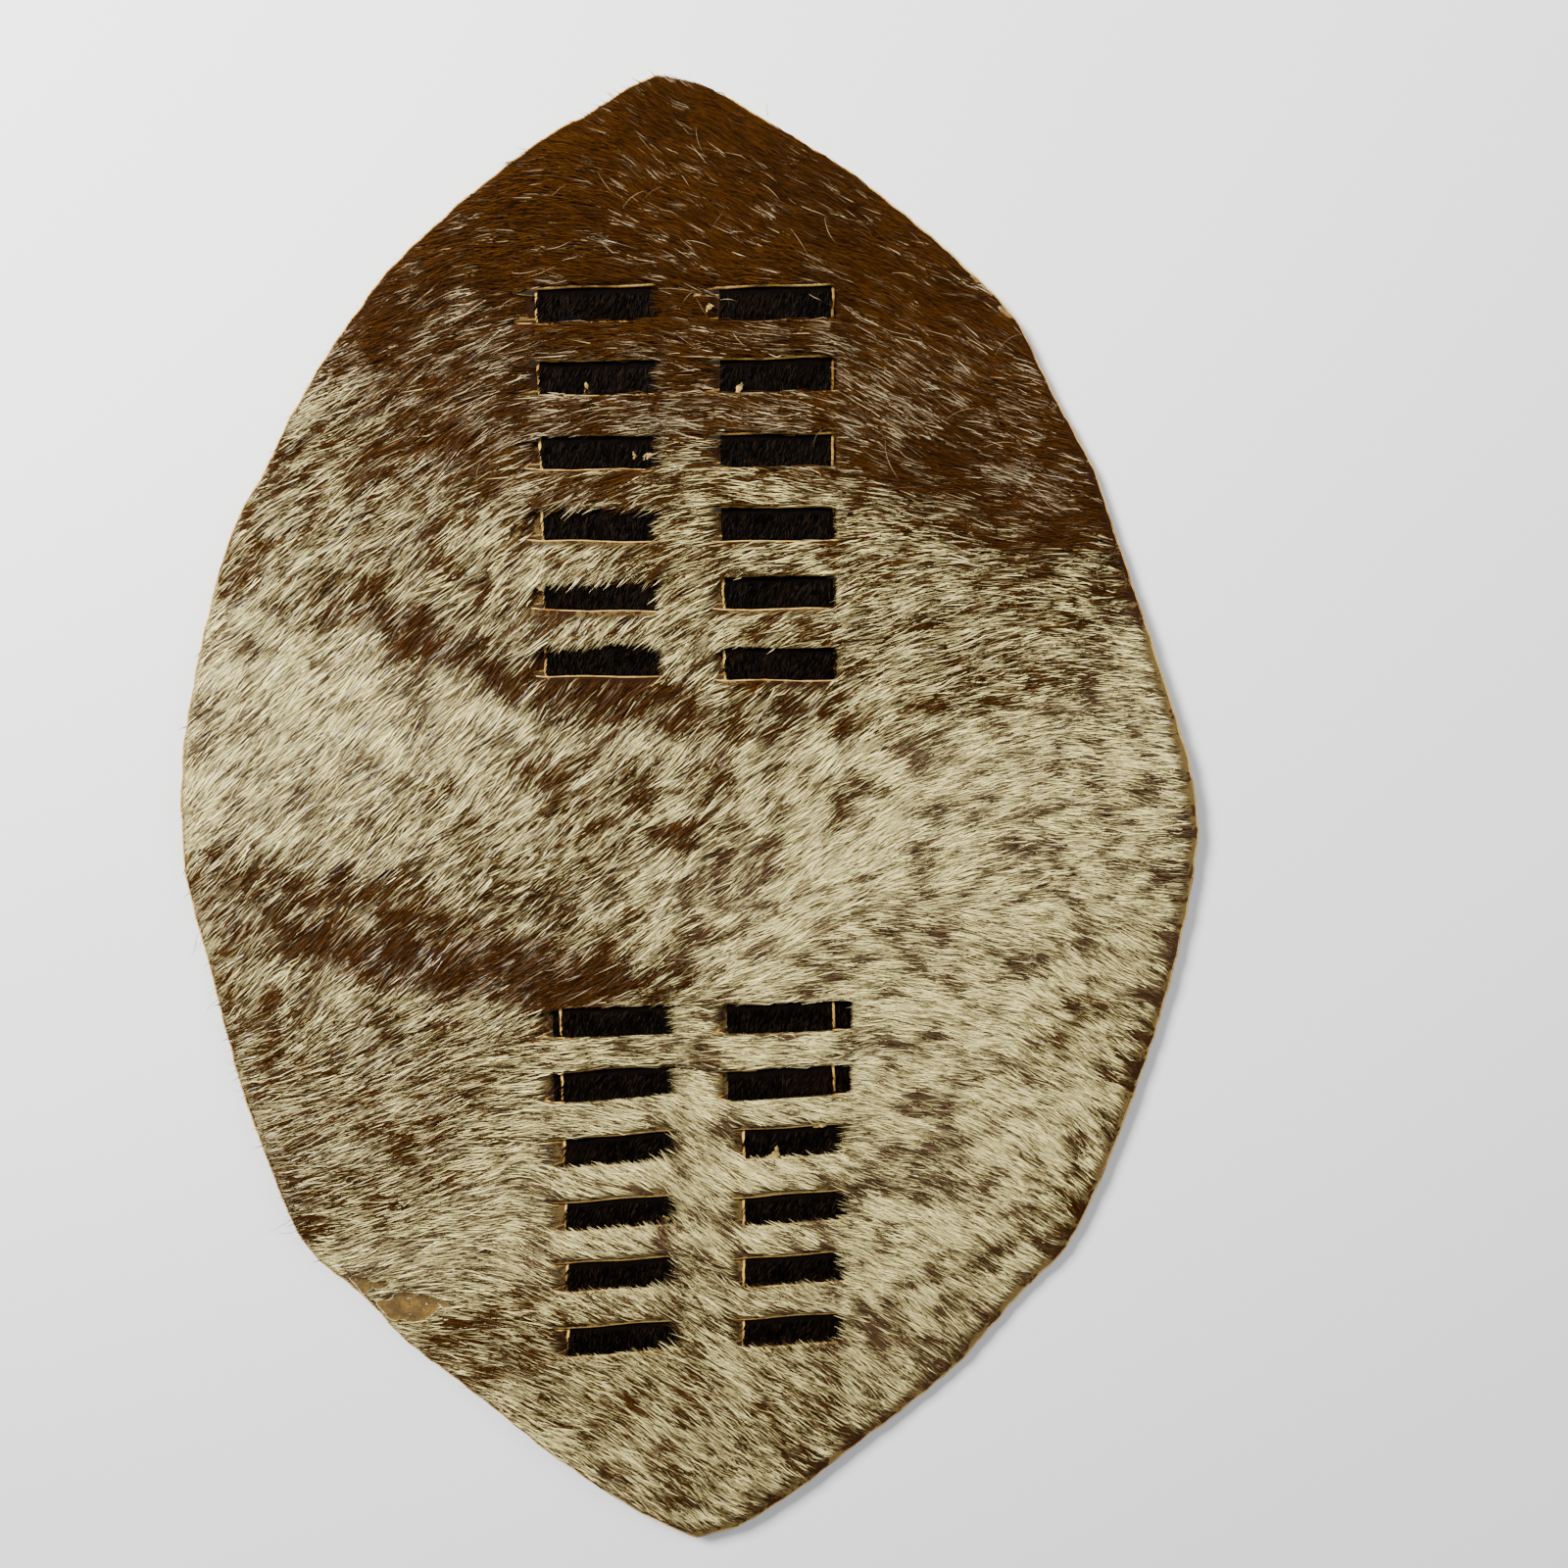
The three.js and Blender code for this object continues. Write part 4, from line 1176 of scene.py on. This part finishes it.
def grow_layer(count, seed, length_factor=1.0, width=0.62, lift=1.0, gather=0.42, scatter=6.0, shown=1.0):
    """Hairs over the whole shield. gather pulls their tips together; shown scales how far along each blade the painted
    root shade fades, so a lower layer with a small shown keeps more painted shade.
    """
    rng = np.random.default_rng(seed)
    roots = scatter_roots(hide_points, hairy_faces, count, rng)
    roots = roots[on_grid(open_ground, roots[:, 0], roots[:, 1])]
    x, y, z = roots.T
    tuft_x, tuft_y, tuft_turn, tuft_lift, tuft_gather = tufts(x, y, TUFT_SIZE, 3.0)
    tuft_turn = TUFT_TURN * (tuft_turn - 0.5)
    heading = lie_of_hair(x, y) + 0.10 * waves(x, y, 34, 8) + 0.07 * waves(x, y, 13, 9)
    tuft_heading = lie_of_hair(tuft_x, tuft_y) + 0.10 * waves(tuft_x, tuft_y, 34, 8) + tuft_turn
    heading = heading + tuft_turn + np.radians(scatter) * rng.normal(size=len(x))
    length = hair_length(x, y) * length_factor * rng.uniform(0.72, 1.2, len(x))
    clear, blocked = length_to_edge(x, y, heading, length)
    length = np.where(blocked, np.minimum(length, np.maximum(SHORTEST, clear + overhang(x, y, rng))), length)
    pull = gather * (0.5 + tuft_gather) * rng.uniform(0.6, 1.1, len(x)) * ~blocked
    reach = length * 0.92
    tip_x = x + np.cos(heading) * length
    tip_y = y + np.sin(heading) * length
    tip_x += (tuft_x + np.cos(tuft_heading) * reach - tip_x) * pull
    tip_y += (tuft_y + np.sin(tuft_heading) * reach - tip_y) * pull
    side_step = rng.normal(size=len(x)) * 0.05 * length
    mid_x = x + (tip_x - x) * BLADE_BEND - (tip_y - y) / length * side_step
    mid_y = y + (tip_y - y) * BLADE_BEND + (tip_x - x) / length * side_step
    height = lift * (1.0 + 0.6 * tuft_lift + 0.9 * rng.random(len(x)) + 0.35 * waves(x, y, 16, 12))
    root_rise = z - plain_level(x, y)

    def level(px, py, along, over):
        return plain_level(px, py) + np.maximum(relief_at(px, py), root_rise * (1 - 0.3 * along)) + over

    def flatter_at_edge(px, py):
        return np.clip(0.3 + (reach_at(px, py) - np.hypot(px, py)) / 16, 0.3, 1)

    mid_z = level(mid_x, mid_y, BLADE_BEND, height * 0.85 * flatter_at_edge(mid_x, mid_y))
    tip_z = level(tip_x, tip_y, 1.0, height * rng.uniform(0.75, 1.35, len(x)) * flatter_at_edge(tip_x, tip_y))
    half = width * rng.uniform(0.7, 1.2, len(x)) / 2 * np.clip(length / 9, 0.4, 1)
    roll = np.radians(rng.normal(size=len(x)) * ROLL_SPREAD)
    run_x, run_y = tip_x - x, tip_y - y
    run = np.maximum(np.hypot(run_x, run_y), 1e-6)
    blades = blade_corners(roots - [0, 0, ROOT_DEPTH], np.stack([mid_x, mid_y, mid_z], axis=1),
                           np.stack([tip_x, tip_y, tip_z], axis=1), -run_y / run, run_x / run, roll, half)
    return dict(blades=blades, roots=roots, strand=rng.random(len(x)), shown=shown)

# %% Blades as one mesh
def atlas(roots, inset=0.1):
    """A small square of the image for each blade, neighbours on the hide staying neighbours."""
    count = len(roots)
    columns = math.ceil(math.sqrt(count))
    by_x = np.argsort(roots[:, 0], kind="stable")
    column = np.empty(count, int)
    column[by_x] = np.arange(count) * columns // count
    order = np.lexsort((roots[:, 1], column))
    first = np.searchsorted(column[order], np.arange(columns))
    row = np.empty(count, int)
    row[order] = np.arange(count) - first[column[order]]
    rows = row.max() + 1
    corners = np.array([(inset, inset), (1 - inset, inset), (inset, 1 - inset), (1 - inset, 1 - inset)])
    cells = np.stack([column, row], axis=1)[:, None, :] + corners[None]
    return cells / np.array([columns, rows])


def build_blades(name, layer, material, **values):
    """Blades as one mesh: root, right, left and tip make two triangles that both face up."""
    count = len(layer["blades"])
    first = np.arange(count)[:, None] * 4
    faces = np.concatenate([first + np.array([0, 1, 2]), first + np.array([1, 3, 2])], axis=1).reshape(-1, 3)
    each = {label: np.repeat(numbers, 4, axis=0) for label, numbers in values.items()}
    # Painted shade: along, scaled by the layer's shown, sets how far each cream hair has come out of its painted root
    # shade.
    each["along"] = np.tile([0.0, BLADE_BEND, BLADE_BEND, 1.0], count) * layer.get("shown", 1.0)
    each["strand"] = np.repeat(layer["strand"], 4)
    piece = build_mesh(name, layer["blades"].reshape(-1, 3), faces, material, **each)
    places = atlas(layer["roots"]).reshape(-1, 2)[faces.ravel()]
    piece.data.uv_layers.new(name="OFBake").data.foreach_set("uv", places.astype(np.float32).ravel())
    return piece


# %% Finish of the roan hair
roan_hair, tree, shader = new_material("roan_hair")
roan = use_group(tree, roan_group, {
    "Place": named_value(tree, "root_at", "Vector"), "Strand": named_value(tree, "strand"),
    "Brownness": named_value(tree, "brown"), "Mixing": named_value(tree, "mixing"),
    "Along": named_value(tree, "along")})
plug_in_all(tree, shader.inputs, {
    "Base Color": roan["Color"],
    "Roughness": ramp_up(tree, named_value(tree, "strand"), 0.0, 1.0, 0.32, 0.56),
    "Specular IOR Level": mix_values(tree, roan["Brown"], 0.3, 0.03)})

# %% Grow the coat
# A shown below 1 keeps a lower layer darker with painted shade, for the layers over it.
COAT_LAYERS = [
    ("coat_under", 68000, dict(length_factor=0.75, width=0.72, lift=0.5, gather=0.25, scatter=9, shown=0.35)),
    ("coat_body_low", 78000, dict(width=0.52, lift=0.9, shown=0.7)),
    ("coat_body", 80000, dict(width=0.46, lift=1.1)),
    ("coat_body_high", 80000, dict(width=0.42, lift=1.3)),
    ("coat_guard", 76000, dict(length_factor=1.2, width=0.36, lift=1.5, gather=0.36, scatter=7)),
]
hair_total = 0
for number, (name, count, shape) in enumerate(COAT_LAYERS):
    layer = grow_layer(count, 100 + number, **shape)
    piece = build_blades(name, layer, roan_hair, root_at=layer["roots"] * MM,
                         **coat_map(layer["roots"][:, 0], layer["roots"][:, 1]))
    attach(piece, "root")
    hair_total += len(layer["blades"])
print("hairs in the coat:", hair_total)

# %% [markdown]
# ## Short black hair of the strips
# The strips' hair is short and lies flat, running down the strip. It is made from the same kind of
# blade, but only where a strip shows in a window, and each hair is cut short where it would cross
# the lip of the band below.

# %% Hair in the windows
BLACK_HEADING = 252  # in degrees from +X: down the strip, and a little to the left


def grow_black_hair(strip, count, seed):
    rng = np.random.default_rng(seed)
    roots = scatter_roots(strip["top"], strip["hairy"], count, rng)
    x, y, z = roots.T
    heading = np.radians(BLACK_HEADING) + 0.25 * waves(x, y, 22, 61) + 0.22 * rng.normal(size=count)
    length = rng.uniform(3.5, 7.5, count)
    keep = np.zeros(count, bool)
    for w in windows:
        along = level_with(w, x, y)
        rooted = (x > w["left"] - 1) & (x < w["right"] + 1) & (along > w["bottom"] + 0.8) & (along < w["top"] + 1)
        room = np.clip((along - w["bottom"] - 0.3) / np.maximum(0.2, -np.sin(heading)), 1.5, None)
        length = np.where(rooted, np.minimum(length, room), length)
        keep |= rooted
    tip_x, tip_y = x + np.cos(heading) * length, y + np.sin(heading) * length
    rise = rng.uniform(0.2, 0.75, count)
    half = rng.uniform(0.16, 0.3, count)
    roll = np.radians(rng.normal(size=count) * BLACK_ROLL_SPREAD)
    middle = np.stack([x + (tip_x - x) * BLADE_BEND, y + (tip_y - y) * BLADE_BEND, z + rise], axis=1)
    tip = np.stack([tip_x, tip_y, z + rise * rng.uniform(0.6, 1.4, count)], axis=1)
    blades = blade_corners(roots - [0, 0, BLACK_ROOT_DEPTH], middle, tip, -np.sin(heading), np.cos(heading), roll, half)
    return dict(blades=blades[keep], roots=roots[keep], strand=rng.random(count)[keep])

# %% Finish and piece of the black hair
black_hair, tree, shader = new_material("black_hair")
tone = named_value(tree, "strand")
# Each black hair gets its own darkness; those with a strand value over 0.6 are lighter, up to (27, 19, 12): partly
# their own tone and partly a painted sheen.
black_tone_and_sheen = blend(tree, ramp_up(tree, tone, 0.6, 1.0), srgb(3, 2, 1), srgb(27, 19, 12))
sunned = speckle(tree, named_value(tree, "root_at", "Vector"), 60.0)
plug_in_all(tree, shader.inputs, {
    "Base Color": stain(tree, black_tone_and_sheen, sunned, 0.55, 0.75, (22, 13, 6), 0.5),
    "Roughness": ramp_up(tree, tone, 0.0, 1.0, 0.42, 0.7), "Specular IOR Level": 0.015})
layers = [grow_black_hair(strip, 11500, 200 + n) for n, strip in enumerate(strips.values())]
black_layer = {label: np.concatenate([layer[label] for layer in layers]) for label in ("blades", "roots", "strand")}
black_coat = build_blades("black_coat", black_layer, black_hair, root_at=black_layer["roots"] * MM)
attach(black_coat, "root")
print("black hairs:", len(black_layer["blades"]))

# %% [markdown]
# ## Bald patches
# Low on the left edge and high on the right one the hair and its skin have worn off, and the tan
# leather shows, with a pale torn rim around it. A mask in the hide's finish could paint this, but
# the rim would be flat. Each patch is a small skin of its own that follows the hide, with its rim
# raised by half a millimetre.

# %% Skins over the bald patches
def distance_to_loop(points, loop):
    nearest = np.full(len(points), np.inf)
    for a, b in zip(loop, np.roll(loop, -1, axis=0)):
        run = b - a
        share = np.clip(((points - a) @ run) / (run @ run), 0, 1)
        nearest = np.minimum(nearest, np.linalg.norm(points - (a + share[:, None] * run), axis=1))
    return nearest


def build_skin(loop, seed):
    """Triangles inside a torn loop, lying on the hide, with a raised rim."""
    rng = np.random.default_rng(seed)
    low, high = loop.min(axis=0), loop.max(axis=0)
    count = int((high - low).prod() * 2.2)
    inner = low + rng.random((count, 2)) * (high - low)
    inner = inner[inside_polygon(inner[:, 0], inner[:, 1], loop)]
    inner = inner[distance_to_loop(inner, loop) > 0.18]
    flat = np.concatenate([loop, inner])
    ring = [(i, (i + 1) % len(loop)) for i in range(len(loop))]
    found = delaunay_2d_cdt([Vector(p) for p in flat], ring, [], 1, 1e-6)
    flat, faces = np.array(found[0]), np.array(found[2])
    away = distance_to_loop(flat, loop)
    rim = np.exp(-(away / 0.55) ** 2)
    x, y = flat.T
    height = 0.10 + 0.5 * rim * (away > 0.02) + 0.06 * rng.normal(size=len(flat)) * (away > 0.3)
    z = resting_level(x, y) + HIDE_THICKNESS / 2 + height
    turn = np.cross(flat[faces[:, 1]] - flat[faces[:, 0]], flat[faces[:, 2]] - flat[faces[:, 0]])
    faces = np.where((turn < 0)[:, None], faces[:, ::-1], faces)
    return np.column_stack([x, y, z]), faces, rim * (0.25 if x.mean() > 0 else 1.0)

# %% Finish and piece of the bald patches
bare_leather, tree, shader = new_material("bare_leather")
at = position(tree)
leather_cloud = speckle(tree, at, 130.0, 4.0, 0.6, 0.5)
scratches = speckle(tree, stretched(tree, at, (0.5, 4, 1), 0.6), 500.0, 4.0, 0.7)
leather = blend(tree, ramp_up(tree, leather_cloud, 0.35, 0.65), srgb(76, 55, 14), srgb(122, 92, 32))
leather = stain(tree, leather, scratches, 0.5, 0.7, (80, 58, 16), 0.5)
pale = calc(tree, "ADD", named_value(tree, "rim"), centred(tree, scratches, 1.5))
leather = stain(tree, leather, pale, 0.6, 0.75, (214, 198, 146))
flakes = speckle(tree, at, 210.0, 4.0, 0.7)
plug_in_all(tree, shader.inputs, {
    "Base Color": stain(tree, leather, flakes, 0.655, 0.67, (232, 220, 188)),
    "Roughness": ramp_up(tree, leather_cloud, 0.3, 0.7, 0.62, 0.42)})
leather_grain = ramp_up(tree, cell_edges(tree, at, 1500.0), 0.0, 0.12)
add_bump(tree, shader, calc(tree, "ADD", leather_grain, calc(tree, "ADD", scratches, flakes)), 0.7, 0.0004)

skins = [build_skin(loop, 60 + n) for n, loop in enumerate(bald_edges)]
bald_skin = build_mesh("bald_patches", *joined([(points, faces) for points, faces, _ in skins]), bare_leather,
                       rim=np.concatenate([rim for _, _, rim in skins]))
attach(bald_skin, "root")
print("bald patches:", len(bald_skin.data.polygons), "triangles")

# %% [markdown]
# ## Torn shreds at the cuts
# Where the knife dragged, bits of the hide's own flesh stick out of the slits, tan and crumpled.
# Each one is a small sheet with a torn outline, thickened as the hide is, and bent up out of the
# slit. Particles would scatter them anywhere, so their few places are listed.

# %% Shreds
# Across, along, length, width, turn in degrees, how far the far end stands up
SHREDS = [
    (-39.5, 200.6, 4.4, 3.4, 95, 1.6), (24.8, 199.4, 4.6, 3.6, 80, 1.8), (-16.0, 172.6, 7.0, 2.2, 20, 1.0),
    (-19.5, 172.4, 3.6, 2.4, 110, 1.4), (34.4, -142.4, 7.8, 5.6, 70, 2.6), (67.5, -134.0, 7.4, 4.4, 250, 1.6),
    (11.4, 240.8, 4.2, 2.8, 200, 1.2), (14.6, 236.2, 3.8, 2.6, 240, 1.2), (-60.5, 118.6, 5.0, 3.2, 160, 1.4),
    (-66.0, 117.6, 5.4, 2.0, 175, 0.9), (-13.8, -170.6, 4.2, 2.0, 140, 1.2), (58.5, -126.0, 6.0, 2.0, 185, 1.2),
    (-57.5, 58.0, 3.4, 1.6, 60, 0.8), (48.0, 125.0, 3.0, 1.4, 250, 0.7), (-3.5, -104.0, 3.2, 1.8, 30, 0.9),
]


def build_shred(spec, seed):
    across, along, length, width, turn, stand = spec
    rng = np.random.default_rng(seed)
    steps = 7
    share = np.linspace(0, 1, steps)
    half = width / 2 * (1 - share) ** 0.7 * rng.uniform(0.35, 1.35, steps)
    drift = np.cumsum(rng.normal(size=steps)) * width * 0.08
    rows = []
    for side in (-1, -0.35, 0.35, 1):
        sway = side * np.maximum(half, 0.12) + drift
        rise = stand * share ** 1.4 + (0.5 * rng.normal(size=steps) + 0.25) * share
        rows.append(np.stack([share * length, sway, rise], axis=1))
    local = np.stack(rows, axis=1).reshape(-1, 3)
    c, s = math.cos(math.radians(turn)), math.sin(math.radians(turn))
    x = across + local[:, 0] * c - local[:, 1] * s
    y = along + local[:, 0] * s + local[:, 1] * c
    base = float(relief_at(np.array([across]), np.array([along]))[0])
    z = plain_level(x, y) + max(base, 2.0) + 0.2 + local[:, 2]
    points = np.column_stack([x, y, z])
    return thicken(points, grid_faces(steps, 4), 0.45, 0.1, 0.1, seed)[:2]

# %% Finish and piece of the shreds
torn_flesh, tree, shader = new_material("torn_flesh")
at = position(tree)
cut = use_group(tree, cut_group, {"Place": at, "Cut": 1.0, "Width": 0.3})
cloud = speckle(tree, at, 420.0, 3.0, 0.6)
plug_in_all(tree, shader.inputs, {
    "Base Color": stain(tree, cut["Color"], cloud, 0.35, 0.5, (134, 114, 58)),
    "Roughness": ramp_up(tree, cloud, 0.3, 0.7, 0.5, 0.75)})
add_bump(tree, shader, cut["Height"], 0.7, 0.0004)
shreds = [build_shred(spec, 300 + n) for n, spec in enumerate(SHREDS)]
shred_piece = build_mesh("torn_shreds", *joined(shreds), torn_flesh)
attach(shred_piece, "root")
print("shreds:", len(SHREDS))

# %% [markdown]
# ## Stray hairs
# A few long, curly hairs lie over the coat and across the windows, and some stand off the edge.
# They catch the light, so the eye finds them at once although there are few. Each is a thin
# ribbon of several pieces along a curve whose bend drifts as it goes.

# %% Stray hairs
# Across, along, half widths of the area, number, mean direction in degrees, mean length
STRAY_AREAS = [
    (45, 262, 70, 34, 20, 150, 11), (-20, 262, 50, 26, 14, 200, 12), (-36, 225, 34, 16, 3, 200, 9),
    (43, 225, 40, 20, 8, 170, 11), (43, 190, 40, 30, 6, 160, 10), (105, 175, 60, 50, 20, 170, 18),
    (-36, 120, 40, 46, 14, 236, 14), (43, 120, 40, 40, 6, 200, 10), (-130, 120, 80, 90, 20, 222, 17),
    (60, -35, 60, 20, 12, 186, 24), (-36, -160, 42, 80, 12, 150, 9), (43, -160, 42, 80, 10, 150, 9),
    (150, 60, 60, 130, 16, 165, 14), (0, -260, 90, 50, 14, 140, 14),
]
# Across, along, direction in degrees, length
EDGE_STRAYS = [
    (-211, 118, 232, 9), (-213, 112, 226, 12), (-206, 125, 240, 8), (-219, -30, 250, 8), (-221, -35, 262, 7),
    (-187, -166, 200, 13), (-184, -171, 190, 10), (-176, 196, 205, 6), (-24, 318, 150, 5), (-16, 320, 155, 5),
    (-60, 298, 165, 5), (-200, -100, 190, 6), (40, 310, 100, 5), (-214, -62, 215, 7),
]


SPARED_SHARE = 0.12  # of the stray hairs whose middle lies over a window
STRAY_HALF, EDGE_STRAY_HALF = 0.06, 0.11  # half widths


def stray_specs(seed=900):
    """Place, heading, length and curl of every stray hair."""
    rng = np.random.default_rng(seed)
    specs = []
    for across, along, half_x, half_y, number, heading, length in STRAY_AREAS:
        for _ in range(number):
            specs.append((across + rng.uniform(-1, 1) * half_x, along + rng.uniform(-1, 1) * half_y,
                          heading + rng.normal() * 13, length * rng.uniform(0.6, 1.4), rng.normal() * 0.03))
    x, y, heading, length, _ = np.array(specs).T
    turn = np.radians(heading)
    clear = on_grid(open_ground, x + np.cos(turn) * length / 2, y + np.sin(turn) * length / 2)
    specs = [spec for spec, is_clear in zip(specs, clear) if is_clear or rng.random() < SPARED_SHARE]
    specs += [(x, y, heading, length, rng.normal() * 0.03) for x, y, heading, length in EDGE_STRAYS]
    return [spec for spec in specs if math.hypot(*spec[:2]) < reach_at(*spec[:2]) + 3]

# %% Stray hairs as ribbons
def build_strays(specs, segments=9, seed=901):
    rng = np.random.default_rng(seed)
    points, faces, along_values, strands = [], [], [], []
    edge_places = {stray[:2] for stray in EDGE_STRAYS}
    for x, y, heading, length, curl in specs:
        at_edge = (x, y) in edge_places
        turn, bend = math.radians(heading), curl
        path = [(x, y)]
        for _ in range(segments):
            bend += rng.normal() * 0.014
            turn += bend * length / segments
            x, y = x + math.cos(turn) * length / segments, y + math.sin(turn) * length / segments
            path.append((x, y))
        path = np.array(path)
        share = np.linspace(0, 1, segments + 1)
        run = np.gradient(path, axis=0)
        side = np.stack([-run[:, 1], run[:, 0]], axis=1) / np.linalg.norm(run, axis=1)[:, None]
        half = (EDGE_STRAY_HALF if at_edge else STRAY_HALF) * (1 - 0.8 * share ** 2)
        top = np.maximum(relief_at(path[:, 0], path[:, 1]), 2.3)
        z = plain_level(path[:, 0], path[:, 1]) + top + 1.9 * np.minimum(1, share * 5)
        z += rng.uniform(0.2, 2.2) * np.sin(share * math.pi)
        first = len(points)
        for k in range(segments + 1):
            for sign in (-1, 1):
                points.append((*(path[k] + sign * side[k] * half[k]), z[k]))
        for k in range(segments):
            a = first + 2 * k
            faces += [(a + 3, a + 2, a), (a + 1, a + 3, a)]
        along_values += list(np.repeat(share, 2))
        strands += [0.0 if at_edge else rng.random()] * (2 * segments + 2)
    return np.array(points), np.array(faces), np.array(along_values), np.array(strands)

# %% Finish and piece of the stray hairs
stray_hair, tree, shader = new_material("stray_hair")
tone = named_value(tree, "strand")
light = blend(tree, tone, srgb(62, 44, 26), srgb(186, 162, 114))
tip = ramp_up(tree, named_value(tree, "along"), 0.0, 0.5)
plug_in_all(tree, shader.inputs, {
    "Base Color": blend(tree, tip, srgb(90, 62, 38), light), "Roughness": ramp_up(tree, tone, 0.0, 1.0, 0.3, 0.5)})
specs = stray_specs()
points, faces, along_values, strands = build_strays(specs)
strays = build_mesh("stray_hairs", points, faces, stray_hair, along=along_values, strand=strands)
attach(strays, "root")
print("stray hairs:", len(specs))
